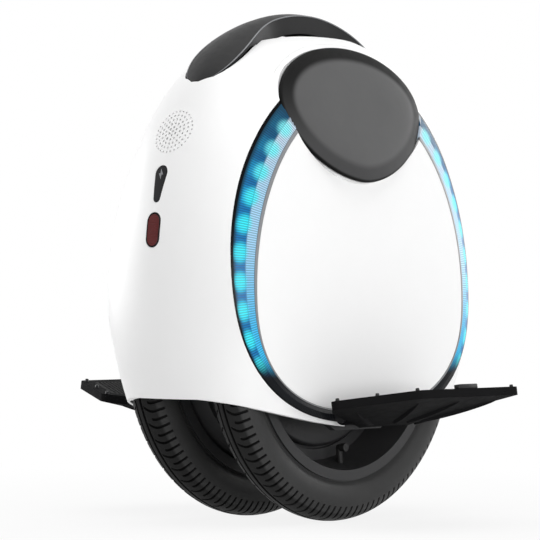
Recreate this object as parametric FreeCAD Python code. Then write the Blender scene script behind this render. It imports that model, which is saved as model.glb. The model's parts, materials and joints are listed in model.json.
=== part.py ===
import FreeCAD, Part
import math
import os

V = FreeCAD.Vector
os.makedirs("parts", exist_ok=True)

# Sizes in millimetres. +X is forward, +Y is the rider's left, +Z is up.
# The origin is on the ground, under the middle of the axle.

# General clearances
EASE = 0.3
SHAFT_EASE = 0.05
CUT_EASE = 0.001

# Wheel
tyre_diameter = 350.0
tyre_width = 43.0
tyre_spacing = 109.0
tread_thickness = 6.5
sidewall_thickness = 3.2
sidewall_rise = 16.0
shoulder_drop = 7.0
shoulder_share = 0.68
bead_width = 5.0
bead_rise = 1.2
groove_width = 2.4
groove_depth = 2.4
groove_offsets = (-3.2, 3.2)
bead_seat_diameter = 254.0
rim_width = 36.2
rim_wall = 2.6
rim_flange_height = 7.6
rim_lip_width = 20.0
rim_web_thickness = 4.0
rim_ring_width = 11.0
rim_ring_inset = 7.0
drum_radius = 112.0
drum_wall = 22.0
drum_width = 44.0
rim_ring_rise = 4.0
cover_rise = 11.0
cover_plate = 5.0
cover_flange = 2.0
cover_gap = 3.0
cover_round = 3.5
rim_bolt_count = 6
rim_bolt_radius = 2.5
rim_bolt_head_radius = 3.8
rim_bolt_head_height = 3.0
rim_bolt_grip = 10.0
valve_radius = 3.0
valve_reach = 104.3
valve_inset = 7.0
valve_deg = 8.3
valve_length = 9.5
valve_cap_length = 6.0
valve_cap_wall = 1.0
tube_wall = 1.6

# Motor inside the drum
magnet_thickness = 3.3
magnet_count = 20
magnet_gap_deg = 2.0
air_gap = 1.0
stator_width = 40.0
tooth_count = 18
tooth_width = 12.0
tooth_tip = 3.0
slot_mouth = 3.0
stator_hub_radius = 57.0
stator_yoke = 6.0
spider_thickness = 10.0
spider_hole_radius = 12.0
spider_hole_circle = 38.0
spider_hole_count = 6
coil_thickness = 4.2
axle_radius = 10.0
bearing_outer_radius = 23.5
bearing_width = 14.0
bearing_housing_wall = 6.5
bearing_boss = 4.0
boss_slope = 3.0
spacer_wall = 5.0

# Frame brackets beside the wheel
bracket_gap = 2.2
bracket_thickness = 7.0
bracket_hub_radius = 26.0
bracket_arm_width = 34.0
bracket_arm_angle = 52.0
bracket_leg_width = 88.0
leg_drop = 5.7
leg_chamfer = 10.0
nut_thickness = 4.4
nut_radius = 15.0
bracket_bolt_radius = 3.0
bracket_bolt_head_radius = 5.0
bracket_bolt_head_height = 2.6
bolt_bite = 8.0
lug_offset = 6.0
lug_wall = 2.0
lug_floor = 4.0

# Wheel arch liner and what sits on it
liner_gap = 6.6
liner_thickness = 2.4
liner_start_deg = 22.0
battery_thickness = 37.0
battery_width = 110.0
battery_start_deg = 40.0
battery_end_deg = 76.0
sink_length = 76.0
sink_width = 90.0
sink_base = 4.0
fin_height = 9.0
fin_count = 7
fin_thickness = 2.0
board_thickness = 1.6
chip_height = 5.0
chip_length = 16.0
chip_width = 20.0

# Shell: the profile along the ridge, seen from the side
shell_centre_z = 247.0
shell_half_length = 203.0
shell_top_rise = 256.5
shell_low_drop = 249.0
low_power = 2.5
shell_wall = 3.2
handle_dip = 17.5
dip_start_deg = 50.0
front_dip_start_deg = 60.0
skirt_mid_z = 93.5
skirt_end_z = 124.0
skirt_half_length = 180.0
skirt_power = 1.6
low_fullness = 0.5
full_start_z = 200.0
full_end_z = 120.0
wheel_room = 1.5
rib_offset = 40.0
rib_thickness = 3.0
rib_low_z = 255.0

# Light band round each side panel
band_half_length = 179.0
band_top_rise = 200.0
band_low_drop = 148.5
band_half_width = 75.4
flare_start_z = 350.0
flare_rate = 0.0046
flare_power = 1.524
panel_centre_z = 225.0
panel_half_length = 155.0
panel_top_rise = 191.0
panel_low_drop = 115.0
panel_offset = 88.5
panel_level_z = 371.0
panel_lean = 0.0255
panel_thickness = 3.0
band_bulge = 2.0
guide_thickness = 3.0
strip_thickness = 1.0
flange_thickness = 2.5
trim_share = 0.09
bead_share = 0.11
band_seam = 0.01
bead_stand = 0.4
strip_start = 0.2
strip_end = 0.8
section_count = 48

# Leg pad
pad_top_z = 466.0
pad_low_z = 332.0
pad_top_y = 57.0
pad_low_y = 94.0
pad_mid_z = 407.0
pad_half_length = 104.0
pad_power = 1.75
pad_edge = 5.0
pad_bevel_height = 9.6
pad_crown = 12.0
pad_bevel = 16.0
pad_seat = 3.0
pad_arcs = 12
pad_gap = 0.5
pad_backing = 6.0
pad_draw_in = 1.5

# Carry handle
handle_span_deg = 38.0
handle_front_deg = 30.0
handle_half_width = 17.0
leaf_half_width = 30.0
front_half_width = 19.0
handle_thickness = 18.0
leaf_thickness = 3.2
well_half_length = 97.0
well_half_width = 36.0
well_depth = 38.0
well_wall = 2.4
well_land_length = 46.0
land_depth = 20.0
land_tuck = 6.0
handle_crown = 0.16
flare_share = 0.25
leaf_share = 0.70
thin_start = 0.40
thin_end = 0.64

# Pedals
hinge_y = 108.0
hinge_z = 106.5
pedal_tilt_deg = 8.7
pedal_top = 10.0
pedal_reach = 120.4
pedal_corner_reach = 45.5
pedal_half_outer = 76.0
pedal_rear_mid = 117.0
pedal_front_mid = 94.0
pedal_half_inner = 70.0
pedal_inner_reach = 5.0
pedal_edge_thickness = 8.0
pedal_root_thickness = 23.0
pedal_round = 9.0
mat_round = 4.0
keel_half_inner = 36.0
keel_half_mid = 30.0
keel_half_outer = 16.0
keel_mid_reach = 17.0
keel_reach = 34.0
keel_round = 3.0
tongue_half_width = 32.0
tongue_radius = 9.5
knuckle_length = 18.0
knuckle_radius = 9.0
pin_radius = 4.5
mat_inset = 13.0
mat_depth = 1.5
stud_radius = 2.2
stud_height = 2.6
stud_shank = 3.0
stud_shank_radius = 1.2
stud_inset = 6.0
buffer_length = 30.0
buffer_width = 7.0
buffer_height = 4.5
buffer_inset = 2.0
knuckle_root = 12.0
tongue_gap = 1.5
notch_gap = 1.0
pin_head_wall = 2.5
pin_head_thickness = 2.5
pin_head_gap = 1.0
mat_gap = 0.2
stud_taper = 0.7
studs_per_edge = 2

# Tail and front fittings
lamp_z = 285.0
lamp_half_width = 9.0
lamp_half_height = 17.0
headlamp_half_width = 16.0
lamp_board_margin = 4.0
headlamp_half_height = 27.0
flap_low_z = 315.5
flap_low_radius = 4.5
flap_high_z = 339.2
flap_high_radius = 7.8
flap_gap = 0.4
socket_radius = 5.5
socket_length = 16.0
speaker_z = 380.0
speaker_radius = 22.0
speaker_rings = 5
speaker_hole_radius = 1.25
speaker_taper = 0.4
driver_radius = 24.0
driver_depth = 14.0
button_z = 345.0
button_radius = 8.0
button_travel = 2.0
button_stem_radius = 3.0
button_stem_length = 10.0
switch_size = 22.0

# Derived places
tyre_radius = tyre_diameter / 2
seat_radius = bead_seat_diameter / 2
flange_radius = seat_radius + rim_flange_height
axle_z = tyre_radius
tyre_y = tyre_spacing / 2
rim_outer_y = tyre_y + rim_width / 2
rim_inner_y = tyre_y - rim_width / 2
drum_y = drum_width / 2
cover_y = drum_y + rim_web_thickness
cover_face_y = cover_y + cover_rise
ring_face_y = cover_y + rim_ring_rise
web_radius = drum_radius - rim_ring_inset
cover_radius = web_radius - EASE
disc_radius = web_radius - cover_gap
rim_bolt_circle = disc_radius - cover_round - rim_bolt_head_radius
bolt_seat_y = cover_face_y - rim_bolt_head_height
valve_y = tyre_y - valve_inset
drum_bore = drum_radius - drum_wall
magnet_radius = drum_bore - magnet_thickness
stator_radius = magnet_radius - air_gap
tip_radius = stator_radius - tooth_tip
bearing_face_y = cover_face_y + bearing_boss
bracket_y = tyre_y + tyre_width / 2 + bracket_gap
bracket_face_y = bracket_y + bracket_thickness
liner_radius = tyre_radius + liner_gap
liner_outer = liner_radius + liner_thickness
lug_radius = bracket_bolt_head_radius + lug_wall
mouth_half = rim_width / 2 - rim_wall - bead_width
handle_rear_angle = math.radians(handle_span_deg)
handle_front_angle = math.radians(handle_front_deg)
fin_base_z = axle_z + liner_outer + EASE
band_middle = 0.5
pad_slope = (pad_low_y - pad_top_y) / (pad_top_z - pad_low_z)
tongue_low_z = hinge_z - tongue_radius
tongue_high_z = hinge_z + tongue_radius
CENTRE = V(0, 0, 0)
ALONG_X = V(1, 0, 0)
ALONG_Y = V(0, 1, 0)
AXLE = V(0, 0, axle_z)


def save(name, shape):
    """Write one node."""
    shape.exportStep("parts/" + name + ".step")


def mirrored(shape):
    """The same shape on the other side of the wheel."""
    return shape.mirror(CENTRE, ALONG_Y)


def reversed_way(shape):
    """The same shape at the other end, front or back."""
    return shape.mirror(CENTRE, ALONG_X)


def save_pair(name, left):
    """Write a left node and its mirror image on the right."""
    save(name + "_left", left)
    save(name + "_right", mirrored(left))


def polygon(points):
    """A flat face through corner points."""
    return Part.Face(Part.makePolygon(points + [points[0]]))


def spun(points):
    """A ring about the axle, from (radius, y) corners."""
    face = polygon([V(r, y, 0) for r, y in points])
    return moved(face.revolve(CENTRE, ALONG_Y, 360), AXLE)


def ring(inner, outer, low_y, high_y):
    """A plain ring about the axle."""
    return spun([(inner, low_y), (outer, low_y), (outer, high_y), (inner, high_y)])


def moved(shape, vector):
    copy = shape.copy()
    copy.translate(vector)
    return copy


def turned(shape, degrees, base=AXLE, axis=ALONG_Y):
    copy = shape.copy()
    copy.rotate(base, axis, degrees)
    return copy


def around(shape, count):
    """Copies of a shape, evenly spaced about the axle."""
    return [turned(shape, 360.0 * i / count) for i in range(count)]


def group(shapes):
    return Part.makeCompound(shapes)


def cylinder(radius, start, end):
    axis = end - start
    return Part.makeCylinder(radius, axis.Length, start, axis)


def block(low, high):
    size = high - low
    return Part.makeBox(size.x, size.y, size.z, low)


def oval(angle, half_x, rise, drop, power):
    """Distance from an oval's centre to its edge, at an angle from +X."""
    c = abs(math.cos(angle))
    s = abs(math.sin(angle))
    if math.sin(angle) >= 0:
        return 1.0 / math.hypot(c / half_x, s / rise)
    return ((c / half_x) ** power + (s / drop) ** power) ** (-1.0 / power)


def smooth(value):
    """A soft step from 0 to 1."""
    t = min(1.0, max(0.0, value))
    return t * t * (3 - 2 * t)


# The shell's surfaces

def band_edge(angle):
    """A point on the outer edge of the left light band."""
    r = oval(angle, band_half_length, band_top_rise, band_low_drop, low_power)
    z = shell_centre_z + r * math.sin(angle)
    y = band_half_width + flare_rate * max(0.0, flare_start_z - z) ** flare_power
    return V(r * math.cos(angle), y, z)


def panel_y(z):
    """Where the left side panel's face lies at a height."""
    return panel_offset + panel_lean * (panel_level_z - z)


def panel_edge(angle, inset=0.0):
    """A point on the edge of the left side panel."""
    r = oval(angle, panel_half_length, panel_top_rise, panel_low_drop, low_power) - inset
    z = panel_centre_z + r * math.sin(angle)
    return V(r * math.cos(angle), panel_y(z), z)


def band_point(angle, share, depth):
    """A point on the band, from its outer edge (0) to the panel (1), and below its face."""
    outer = band_edge(angle)
    point = outer + (panel_edge(angle) - outer) * share
    rise = band_bulge * max(0.0, 1 - abs(2 * share - 1))
    return point + V(0, rise - depth, 0)


def ridge(angle, depth=0.0):
    """A point on the shell's middle line."""
    r = oval(angle, shell_half_length, shell_top_rise, shell_low_drop, low_power)
    from_level = math.degrees(math.asin(max(-1.0, min(1.0, math.sin(angle)))))
    start = front_dip_start_deg if math.cos(angle) > 0 else dip_start_deg
    dip = handle_dip * smooth((from_level - start) / (90.0 - start))
    return V(0, 0, shell_centre_z) + V(math.cos(angle), 0, math.sin(angle)) * (r - dip - depth)


def flipped(point):
    return V(point.x, -point.y, point.z)


def ring_angles(count=section_count):
    return [2 * math.pi * i / count for i in range(count)]


def fullness(z):
    """How much fuller than an arc the shell's cross section is at a height."""
    return low_fullness * smooth((full_start_z - z) / (full_start_z - full_end_z))


def crest(edge, top):
    """A curve from one side, over a point in the middle, to the other side."""
    lift = V(top.x - edge.x, 0, top.z - edge.z)
    slope = lift.Length / abs(edge.y)
    drawn_in = (1 - slope * slope) * (1 - fullness(edge.z)) * 2 / 3
    pole = V(edge.x, edge.y * (1 - drawn_in), edge.z) + lift * (4 / 3)
    curve = Part.BezierCurve()
    curve.setPoles([edge, pole, flipped(pole), flipped(edge)])
    return curve.toShape()


def shell_section(angle):
    """The shell's wall at one angle: its arch and the two band seats."""
    front = panel_thickness + strip_thickness + 2 * EASE
    back = front + flange_thickness
    edge = band_edge(angle)
    outward = V(math.cos(angle), 0, math.sin(angle))
    inner_end = edge + outward * (shell_wall / 2) - V(0, back, 0)
    seat = [edge - V(0, front, 0)]
    seat += [band_point(angle, s, front) for s in (band_middle, 1.0)]
    seat += [band_point(angle, s, back) for s in (1.0, band_middle)]
    right = [flipped(p) for p in seat]
    right_run = [flipped(edge)] + right + [flipped(inner_end)]
    left_run = [inner_end] + seat[::-1] + [edge]
    edges = [crest(edge, ridge(angle))]
    edges += [Part.makeLine(a, b) for a, b in zip(right_run, right_run[1:])]
    edges += [crest(flipped(inner_end), ridge(angle, shell_wall))]
    edges += [Part.makeLine(a, b) for a, b in zip(left_run, left_run[1:])]
    return Part.Wire(edges)


def core_section(angle, depth):
    """The space inside the shell's arch at one angle, as a closed outline."""
    edge = band_edge(angle)
    outward = V(math.cos(angle), 0, math.sin(angle))
    end = edge - outward * depth - V(0, depth, 0)
    return Part.Wire([crest(end, ridge(angle, depth)), Part.makeLine(flipped(end), end)])


def arch_block(depth, low_deg, high_deg, count=13):
    """The solid under the shell's arch, between two angles, a depth below its face."""
    angles = [math.radians(low_deg + (high_deg - low_deg) * i / (count - 1)) for i in range(count)]
    return Part.makeLoft([core_section(a, depth) for a in angles], True, False)


def tail_core(depth):
    """The same solid over the whole tail."""
    return arch_block(depth, 95 - depth, 185 + depth, 25)


def front_core(depth):
    """The same solid over the whole front."""
    return arch_block(depth, -5 - depth, 85 + depth, 25)


def band_ring(start, end, front, back):
    """A closed ring in the light band, between two shares of its width."""
    wires = []
    for angle in ring_angles():
        shares = [start] + ([band_middle] if start < band_middle < end else []) + [end]
        points = [band_point(angle, s, front) for s in shares]
        points += [band_point(angle, s, back) for s in reversed(shares)]
        wires.append(Part.makePolygon(points + [points[0]]))
    return Part.makeLoft(wires, True, False, True)


def skirt_cut():
    """Everything under the shell's lower edge."""
    reach = shell_half_length * 1.2
    points = []
    steps = 12
    for i in range(-steps, steps + 1):
        x = skirt_half_length * i / steps
        rise = (skirt_end_z - skirt_mid_z) * (abs(x) / skirt_half_length) ** skirt_power
        points.append(V(x, -reach, skirt_mid_z + rise))
    curve = Part.BSplineCurve()
    curve.interpolate(points)
    low = -shell_half_length
    corners = [points[-1], V(reach, -reach, skirt_end_z), V(reach, -reach, low), V(-reach, -reach, low),
               V(-reach, -reach, skirt_end_z), points[0]]
    edges = [curve.toShape()] + [Part.makeLine(a, b) for a, b in zip(corners, corners[1:])]
    return Part.Face(Part.Wire(edges)).extrude(V(0, 2 * reach, 0))


# The leg pad's place

def pad_frame():
    """The pad's seat: its middle, its way up and its way out."""
    up = V(0, -pad_slope, 1).normalize()
    out = V(0, 1, pad_slope).normalize()
    middle = V(0, pad_top_y + pad_slope * (pad_top_z - pad_mid_z), pad_mid_z)
    return middle, up, out


def pad_wire(inset, height):
    """The pad's outline, drawn in by an inset, at a height over its seat."""
    middle, up, out = pad_frame()
    rise = (pad_top_z - pad_mid_z) / up.z
    drop = (pad_mid_z - pad_low_z) / up.z
    points = []
    for i in range(2 * pad_arcs):
        angle = math.pi * i / pad_arcs
        r = oval(angle, pad_half_length - inset, rise - inset, drop - inset, pad_power)
        along = ALONG_X * (r * math.cos(angle)) + up * (r * math.sin(angle))
        points.append(middle + along + out * height)
    points.append(points[0])
    starts = range(0, 2 * pad_arcs, 2)
    arcs = [Part.Arc(points[i], points[i + 1], points[i + 2]).toShape() for i in starts]
    return Part.Wire(arcs)


def pad_prism(inset, low, high):
    out = pad_frame()[2]
    return Part.Face(pad_wire(inset, low)).extrude(out * (high - low))


def pad_pocket():
    """The room cut for the pad and its seat plate."""
    return pad_prism(-pad_gap, -pad_seat - EASE, 5 * pad_crown)


def leg_pad():
    """A pad with drawn-in sides, a bevelled border and a crown."""
    steps = [(pad_draw_in, 0.0), (0.0, pad_edge * 0.6), (pad_draw_in / 2, pad_edge)]
    steps += [(pad_bevel, pad_bevel_height), (pad_bevel * 2, (pad_bevel_height + 2 * pad_crown) / 3)]
    steps += [(pad_bevel * 3, pad_crown)]
    return Part.makeLoft([pad_wire(inset, height) for inset, height in steps], True, True)


# The shell and what is fixed to it

def pill(half_width, half_height, z, low_x, high_x):
    """A rounded upright bar along X."""
    straight = half_height - half_width
    middle = block(V(low_x, -half_width, z - straight), V(high_x, half_width, z + straight))
    ends = []
    for end_z in (z - straight, z + straight):
        ends.append(cylinder(half_width, V(low_x, 0, end_z), V(high_x, 0, end_z)))
    return middle.fuse(ends).removeSplitter()


def teardrop(gap, low_x, high_x):
    """The charge flap's outline along X: two round ends and their tangents."""
    rounds = ((flap_low_radius - gap, flap_low_z), (flap_high_radius - gap, flap_high_z))
    tilt = math.asin((flap_high_radius - flap_low_radius) / (flap_high_z - flap_low_z))
    sides = [(radius * math.cos(tilt), z - radius * math.sin(tilt)) for radius, z in rounds]
    corners = [V(low_x, y, z) for y, z in sides]
    corners += [V(low_x, -y, z) for y, z in reversed(sides)]
    middle = polygon(corners).extrude(V(high_x - low_x, 0, 0))
    ends = [cylinder(radius, V(low_x, 0, z), V(high_x, 0, z)) for radius, z in rounds]
    return middle.fuse(ends).removeSplitter()


def tail_frame(z):
    """The point on the tail's middle line at a height, and the way out of it."""
    low, high = math.pi / 2, math.pi
    for _ in range(60):
        middle = (low + high) / 2
        if ridge(middle).z > z:
            low = middle
        else:
            high = middle
    step = 0.01
    along = ridge(low + step) - ridge(low - step)
    return ridge(low), V(along.z, 0, -along.x).normalize()


def speaker_holes():
    """A round field of holes, in rings that follow the tail's slope."""
    centre, out = tail_frame(speaker_z)
    up = V(0, 1, 0).cross(out)
    spots = [V(0, 0, 0)]
    for n in range(1, speaker_rings + 1):
        radius = speaker_radius * n / speaker_rings
        for i in range(6 * n):
            angle = 2 * math.pi * (i + 0.5 * (n % 2)) / (6 * n)
            spots.append(V(0, 1, 0) * (radius * math.cos(angle)) + up * (radius * math.sin(angle)))
    depth = out * (4 * shell_wall)
    holes = []
    for spot in spots:
        share = spot.Length / speaker_radius
        radius = speaker_hole_radius * (1 + speaker_taper * (0.5 - share))
        holes.append(cylinder(radius, centre + spot - depth, centre + spot + depth))
    return holes


def handle_end(angle):
    """The leaf on this side of the handle's middle: how far it reaches, and half its width."""
    if angle < math.pi / 2:
        return handle_front_angle, front_half_width
    return handle_rear_angle, leaf_half_width


def handle_width(share, leaf):
    """Half the handle's width, from its middle (0) to the tip of a leaf (1)."""
    if share <= leaf_share:
        flare = smooth((share - flare_share) / (leaf_share - flare_share))
        return handle_half_width + (leaf - handle_half_width) * flare
    rest = (share - leaf_share) / (1.0 - leaf_share)
    return leaf * math.sqrt(max(0.02, 1 - rest * rest))


def handle_height(share):
    """The handle's thickness, thick at the grip and thin under the leaves."""
    thin = smooth((share - thin_start) / (thin_end - thin_start))
    return handle_thickness + (leaf_thickness - handle_thickness) * thin


def handle_top(angle):
    """A point on the handle's middle line: the shell's outline with no dip."""
    r = oval(angle, shell_half_length, shell_top_rise, shell_low_drop, low_power)
    return V(r * math.cos(angle), 0, shell_centre_z + r * math.sin(angle))


def handle_section(angle, grow):
    """The handle's section at one angle: crowned, with a hollow under side."""
    reach, leaf = handle_end(angle)
    share = abs(angle - math.pi / 2) / reach
    half = handle_width(share, leaf) + grow
    outward = V(math.cos(angle), 0, math.sin(angle))
    top = handle_top(angle)
    drop = handle_crown * half
    low = handle_height(share) + grow
    side = top - outward * drop + V(0, half, 0)
    foot = side - outward * low
    arc = Part.Arc(side, top, flipped(side)).toShape()
    base = Part.Arc(flipped(foot), top - outward * low, foot).toShape()
    edges = [arc, Part.makeLine(flipped(side), flipped(foot)), base, Part.makeLine(foot, side)]
    return Part.Wire(edges)


def carry_handle(grow=0.0):
    """The arched grip with a leaf at each end."""
    steps = 12
    extra = grow / shell_half_length
    front = handle_front_angle + extra
    rear = handle_rear_angle + extra
    angles = [math.pi / 2 - front * (1 - i / steps) for i in range(steps)]
    angles += [math.pi / 2 + rear * i / steps for i in range(steps + 1)]
    return Part.makeLoft([handle_section(a, grow) for a in angles], True, False)


def well_prism(inset, low_z, high_z):
    """The finger well's oval, upright."""
    ellipse = Part.Ellipse(V(0, 0, low_z), well_half_length - inset, well_half_width - inset)
    return Part.Face(Part.Wire(ellipse.toShape())).extrude(V(0, 0, high_z - low_z))


def leaf_prism(grow):
    """Upright room over both leaves, cut through the shell."""
    rooms = []
    steps = 16
    low_z = shell_centre_z + band_top_rise / 2
    for way in (-1, 1):
        reach, leaf = handle_end(math.pi / 2 + way * EASE)
        points = []
        for i in range(steps + 1):
            share = i / steps
            x = handle_top(math.pi / 2 + way * reach * share).x - way * grow * share
            points.append(V(x, handle_width(share, leaf) + grow, low_z))
        outline = points + [flipped(p) for p in reversed(points)]
        rooms.append(polygon(outline).extrude(V(0, 0, shell_top_rise)))
    return rooms[0].fuse(rooms[1])


def handle_well():
    """The dark tray under the handle, with a land for each leaf."""
    top_z = shell_centre_z + shell_top_rise - handle_dip
    floor_z = top_z - well_depth
    outline = well_prism(-well_wall, floor_z - well_wall, top_z + handle_dip)
    reach = well_half_length + well_land_length
    lands = block(V(-reach, -leaf_half_width, floor_z - land_depth), V(reach, leaf_half_width, top_z))
    under = arch_block(shell_wall + EASE, 30, 150)
    tray = outline.fuse(lands).common(under)
    tray = tray.cut(well_prism(0, floor_z, top_z + handle_dip))
    hollow = V(well_half_length - land_tuck, leaf_half_width - well_wall, floor_z - well_wall)
    return tray.cut(block(V(-hollow.x, -hollow.y, 0), hollow)).cut(carry_handle(EASE))


def shell_openings():
    """What is cut out of the shell for the pieces set into it."""
    far = 2 * shell_half_length
    near = shell_half_length / 2
    cuts = [skirt_cut(), pad_pocket(), mirrored(pad_pocket())]
    cuts += [well_prism(0, shell_centre_z, 2 * shell_top_rise), leaf_prism(EASE), carry_handle(EASE)]
    cuts += [tongue_notch(), mirrored(tongue_notch())]
    cuts += [pill(lamp_half_width, lamp_half_height, lamp_z, -far, -near), teardrop(0, -far, -near)]
    cuts += [pill(headlamp_half_width, headlamp_half_height, lamp_z, near, far)]
    cuts += [cylinder(button_radius + EASE, V(near, 0, button_z), V(far, 0, button_z))]
    return cuts


def pad_seat_plate():
    """The plate behind the left pad, clear of the side panel."""
    seat = pad_prism(EASE, -pad_seat - EASE, -EASE)
    backing = pad_prism(-pad_backing, -2 * pad_seat - EASE, -pad_seat - EASE)
    proud = panel_prism(0.0, -2 * pad_crown)
    return seat.fuse(backing.cut([panel_prism(0.0, panel_thickness + EASE), proud]))


def main_shell():
    """The white moulding: arch, tail, front, skirts, band seats and pad seats."""
    shell = Part.makeLoft([shell_section(a) for a in ring_angles()], True, False, True)
    for opening in shell_openings():
        shell = shell.cut([opening], CUT_EASE)
    plate = pad_seat_plate()
    shell = shell.fuse([plate, mirrored(plate)] + shell_ribs())
    return shell.cut(wheel_spaces() + speaker_holes())


def wheel_spaces():
    """The room that the two tyres and what lies between them turn in."""
    foot, neck, wide, shoulder, crown = tyre_section()
    grown = [foot, neck, (wide[0], wide[1] + wheel_room)]
    grown += [(shoulder[0] + wheel_room, shoulder[1] + wheel_room), (crown[0] + wheel_room, 0.0)]
    left = arc_ring(grown)
    return [left, mirrored(left), ring(0, wide[0], -bracket_y, bracket_y)]


def shell_ribs():
    """Webs that rest the shell's ends on the wheel arch liner, under the battery packs."""
    ribs = []
    inside = arch_block(shell_wall / 2, -10, 60)
    rib_top_z = axle_z + liner_outer * math.sin(math.radians(battery_start_deg)) - EASE
    half = rib_thickness / 2
    for y in (-rib_offset, rib_offset):
        sheet = block(V(0, y - half, rib_low_z), V(2 * shell_half_length, y + half, rib_top_z))
        rib = sheet.common(inside).cut(ring(0, liner_outer + EASE, -bracket_y, bracket_y))
        ribs += [rib, reversed_way(rib)]
    return ribs


def tongue_notch():
    """Room for the pedal bracket's tongue at the left side."""
    half = tongue_half_width + notch_gap
    return block(V(-half, bracket_y, 0), V(half, 2 * hinge_y, tongue_high_z + notch_gap))


def trimmed(shape):
    """A band piece with the room for the pad and the bracket taken out."""
    return shape.cut([pad_pocket(), tongue_notch()])


def panel_prism(inset, depth):
    """The left side panel's outline, drawn in by an inset, from its face to a depth."""
    curve = Part.BSplineCurve()
    curve.interpolate(Points=[panel_edge(a, inset) for a in ring_angles()], PeriodicFlag=True)
    return Part.Face(Part.Wire(curve.toShape())).extrude(V(0, -depth, 0))


def side_panel():
    """The flat white panel on one side."""
    return trimmed(panel_prism(EASE, panel_thickness))


# The wheel

def air_section(inset):
    """Half the section of the tyre's air space, drawn in by an inset."""
    half = tyre_width / 2 - sidewall_thickness - inset
    inner_crown = tyre_radius - tread_thickness
    foot = (seat_radius + EASE + inset, mouth_half - inset)
    neck = (flange_radius + bead_rise, mouth_half + bead_rise - inset)
    wide = ((seat_radius + inner_crown) / 2 + bead_rise, half)
    shoulder = (inner_crown - shoulder_drop - inset, half * shoulder_share)
    return [foot, neck, wide, shoulder, (inner_crown - inset, 0.0)]


def tyre_section():
    """Half the section of the tyre's outside."""
    half = tyre_width / 2
    bead = rim_width / 2 - rim_wall - EASE
    foot = (seat_radius + EASE, bead)
    neck = (flange_radius + bead_rise, bead)
    wide = (flange_radius + sidewall_rise, half)
    shoulder = (tyre_radius - shoulder_drop, half * shoulder_share)
    return [foot, neck, wide, shoulder, (tyre_radius, 0.0)]


def arc_ring(right):
    """A ring about the axle from a half section: foot, neck, widest, shoulder, crown."""
    def at(point, side):
        return V(point[0], side * point[1], 0)
    foot, neck, wide, shoulder, crown = right
    edges = [Part.makeLine(at(foot, -1), at(foot, 1)), Part.makeLine(at(foot, 1), at(neck, 1))]
    edges += [Part.Arc(at(neck, 1), at(wide, 1), at(shoulder, 1)).toShape()]
    edges += [Part.Arc(at(shoulder, 1), at(crown, 1), at(shoulder, -1)).toShape()]
    edges += [Part.Arc(at(shoulder, -1), at(wide, -1), at(neck, -1)).toShape()]
    edges += [Part.makeLine(at(neck, -1), at(foot, -1))]
    face = Part.Face(Part.Wire(edges))
    return moved(face.revolve(CENTRE, ALONG_Y, 360), AXLE + V(0, tyre_y, 0))


def tyre():
    """The left tyre: a carcass open at its beads, with two grooves round its tread."""
    mouth = ring(0, seat_radius + bead_rise, tyre_y - mouth_half, tyre_y + mouth_half)
    grooves = []
    for offset in groove_offsets:
        y = tyre_y - offset
        low = tyre_radius - groove_depth - shoulder_drop * (offset / (shoulder_share * tyre_width / 2)) ** 2
        grooves.append(ring(low, tyre_radius + groove_depth, y - groove_width / 2, y + groove_width / 2))
    return arc_ring(tyre_section()).cut([arc_ring(air_section(0.0)), mouth] + grooves)


def valve_point(radius, y):
    """A point of the left tyre's valve, at a distance from the axle."""
    angle = math.radians(valve_deg)
    return AXLE + V(radius * math.sin(angle), y, -radius * math.cos(angle))


def valve_stem(grow, top):
    """The valve's straight stem, or with some room its hole in the rim."""
    return cylinder(valve_radius + grow, valve_point(valve_reach, valve_y), valve_point(top, valve_y))


def valve():
    """An angled valve: a stem towards the axle, an elbow and a capped spout that points outwards."""
    elbow = valve_point(valve_reach, valve_y)
    end_y = valve_y + valve_length
    end = valve_point(valve_reach, end_y)
    spout = cylinder(valve_radius, elbow, end)
    cap_start = valve_point(valve_reach, end_y - valve_cap_length)
    cap = cylinder(valve_radius + valve_cap_wall, cap_start, end)
    stem = valve_stem(0.0, seat_radius + EASE + tube_wall)
    return stem.fuse([Part.makeSphere(valve_radius, elbow), spout, cap])


def inner_tube():
    """The left inner tube with its valve."""
    outer = arc_ring(air_section(EASE))
    air = arc_ring(air_section(EASE + tube_wall))
    return outer.cut(air).fuse(valve())


def rim():
    """The left rim: tyre seat, flanges, cone and the ring that bolts to the drum."""
    lip = seat_radius - rim_wall
    seat_out = rim_outer_y - rim_wall
    seat_in = rim_inner_y + rim_wall
    ring_radius = web_radius + rim_ring_width
    outside = [(lip, rim_outer_y), (flange_radius, rim_outer_y), (flange_radius, seat_out)]
    seat = [(seat_radius, seat_out), (seat_radius, seat_in), (flange_radius, seat_in)]
    inside = [(flange_radius, rim_inner_y), (lip, rim_inner_y), (lip, rim_outer_y - rim_lip_width)]
    foot = [(drum_radius + rim_web_thickness, drum_y), (drum_bore, drum_y), (drum_bore, cover_y)]
    face = [(web_radius, cover_y), (web_radius, ring_face_y), (ring_radius, ring_face_y)]
    body = spun(outside + seat + inside + foot + face)
    return body.cut([valve_stem(EASE, seat_radius + rim_wall)] + bolt_ring(SHAFT_EASE))


def rim_bolt(grow):
    """One bolt through the motor cover and the rim's web into the drum, or with some room its hole."""
    spot = AXLE + V(rim_bolt_circle, 0, 0)
    seat = spot + V(0, bolt_seat_y, 0)
    shaft = cylinder(rim_bolt_radius + grow, spot + V(0, drum_y - rim_bolt_grip - grow, 0), seat)
    head = cylinder(rim_bolt_head_radius + grow, seat, spot + V(0, cover_face_y, 0))
    return shaft.fuse(head).removeSplitter()


def bolt_ring(grow):
    """The left rim bolts, or their holes."""
    return around(rim_bolt(grow), rim_bolt_count)


def motor_drum():
    drum = ring(drum_bore, drum_radius, -drum_y, drum_y)
    holes = bolt_ring(SHAFT_EASE)
    return drum.cut(holes + [mirrored(h) for h in holes])


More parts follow.
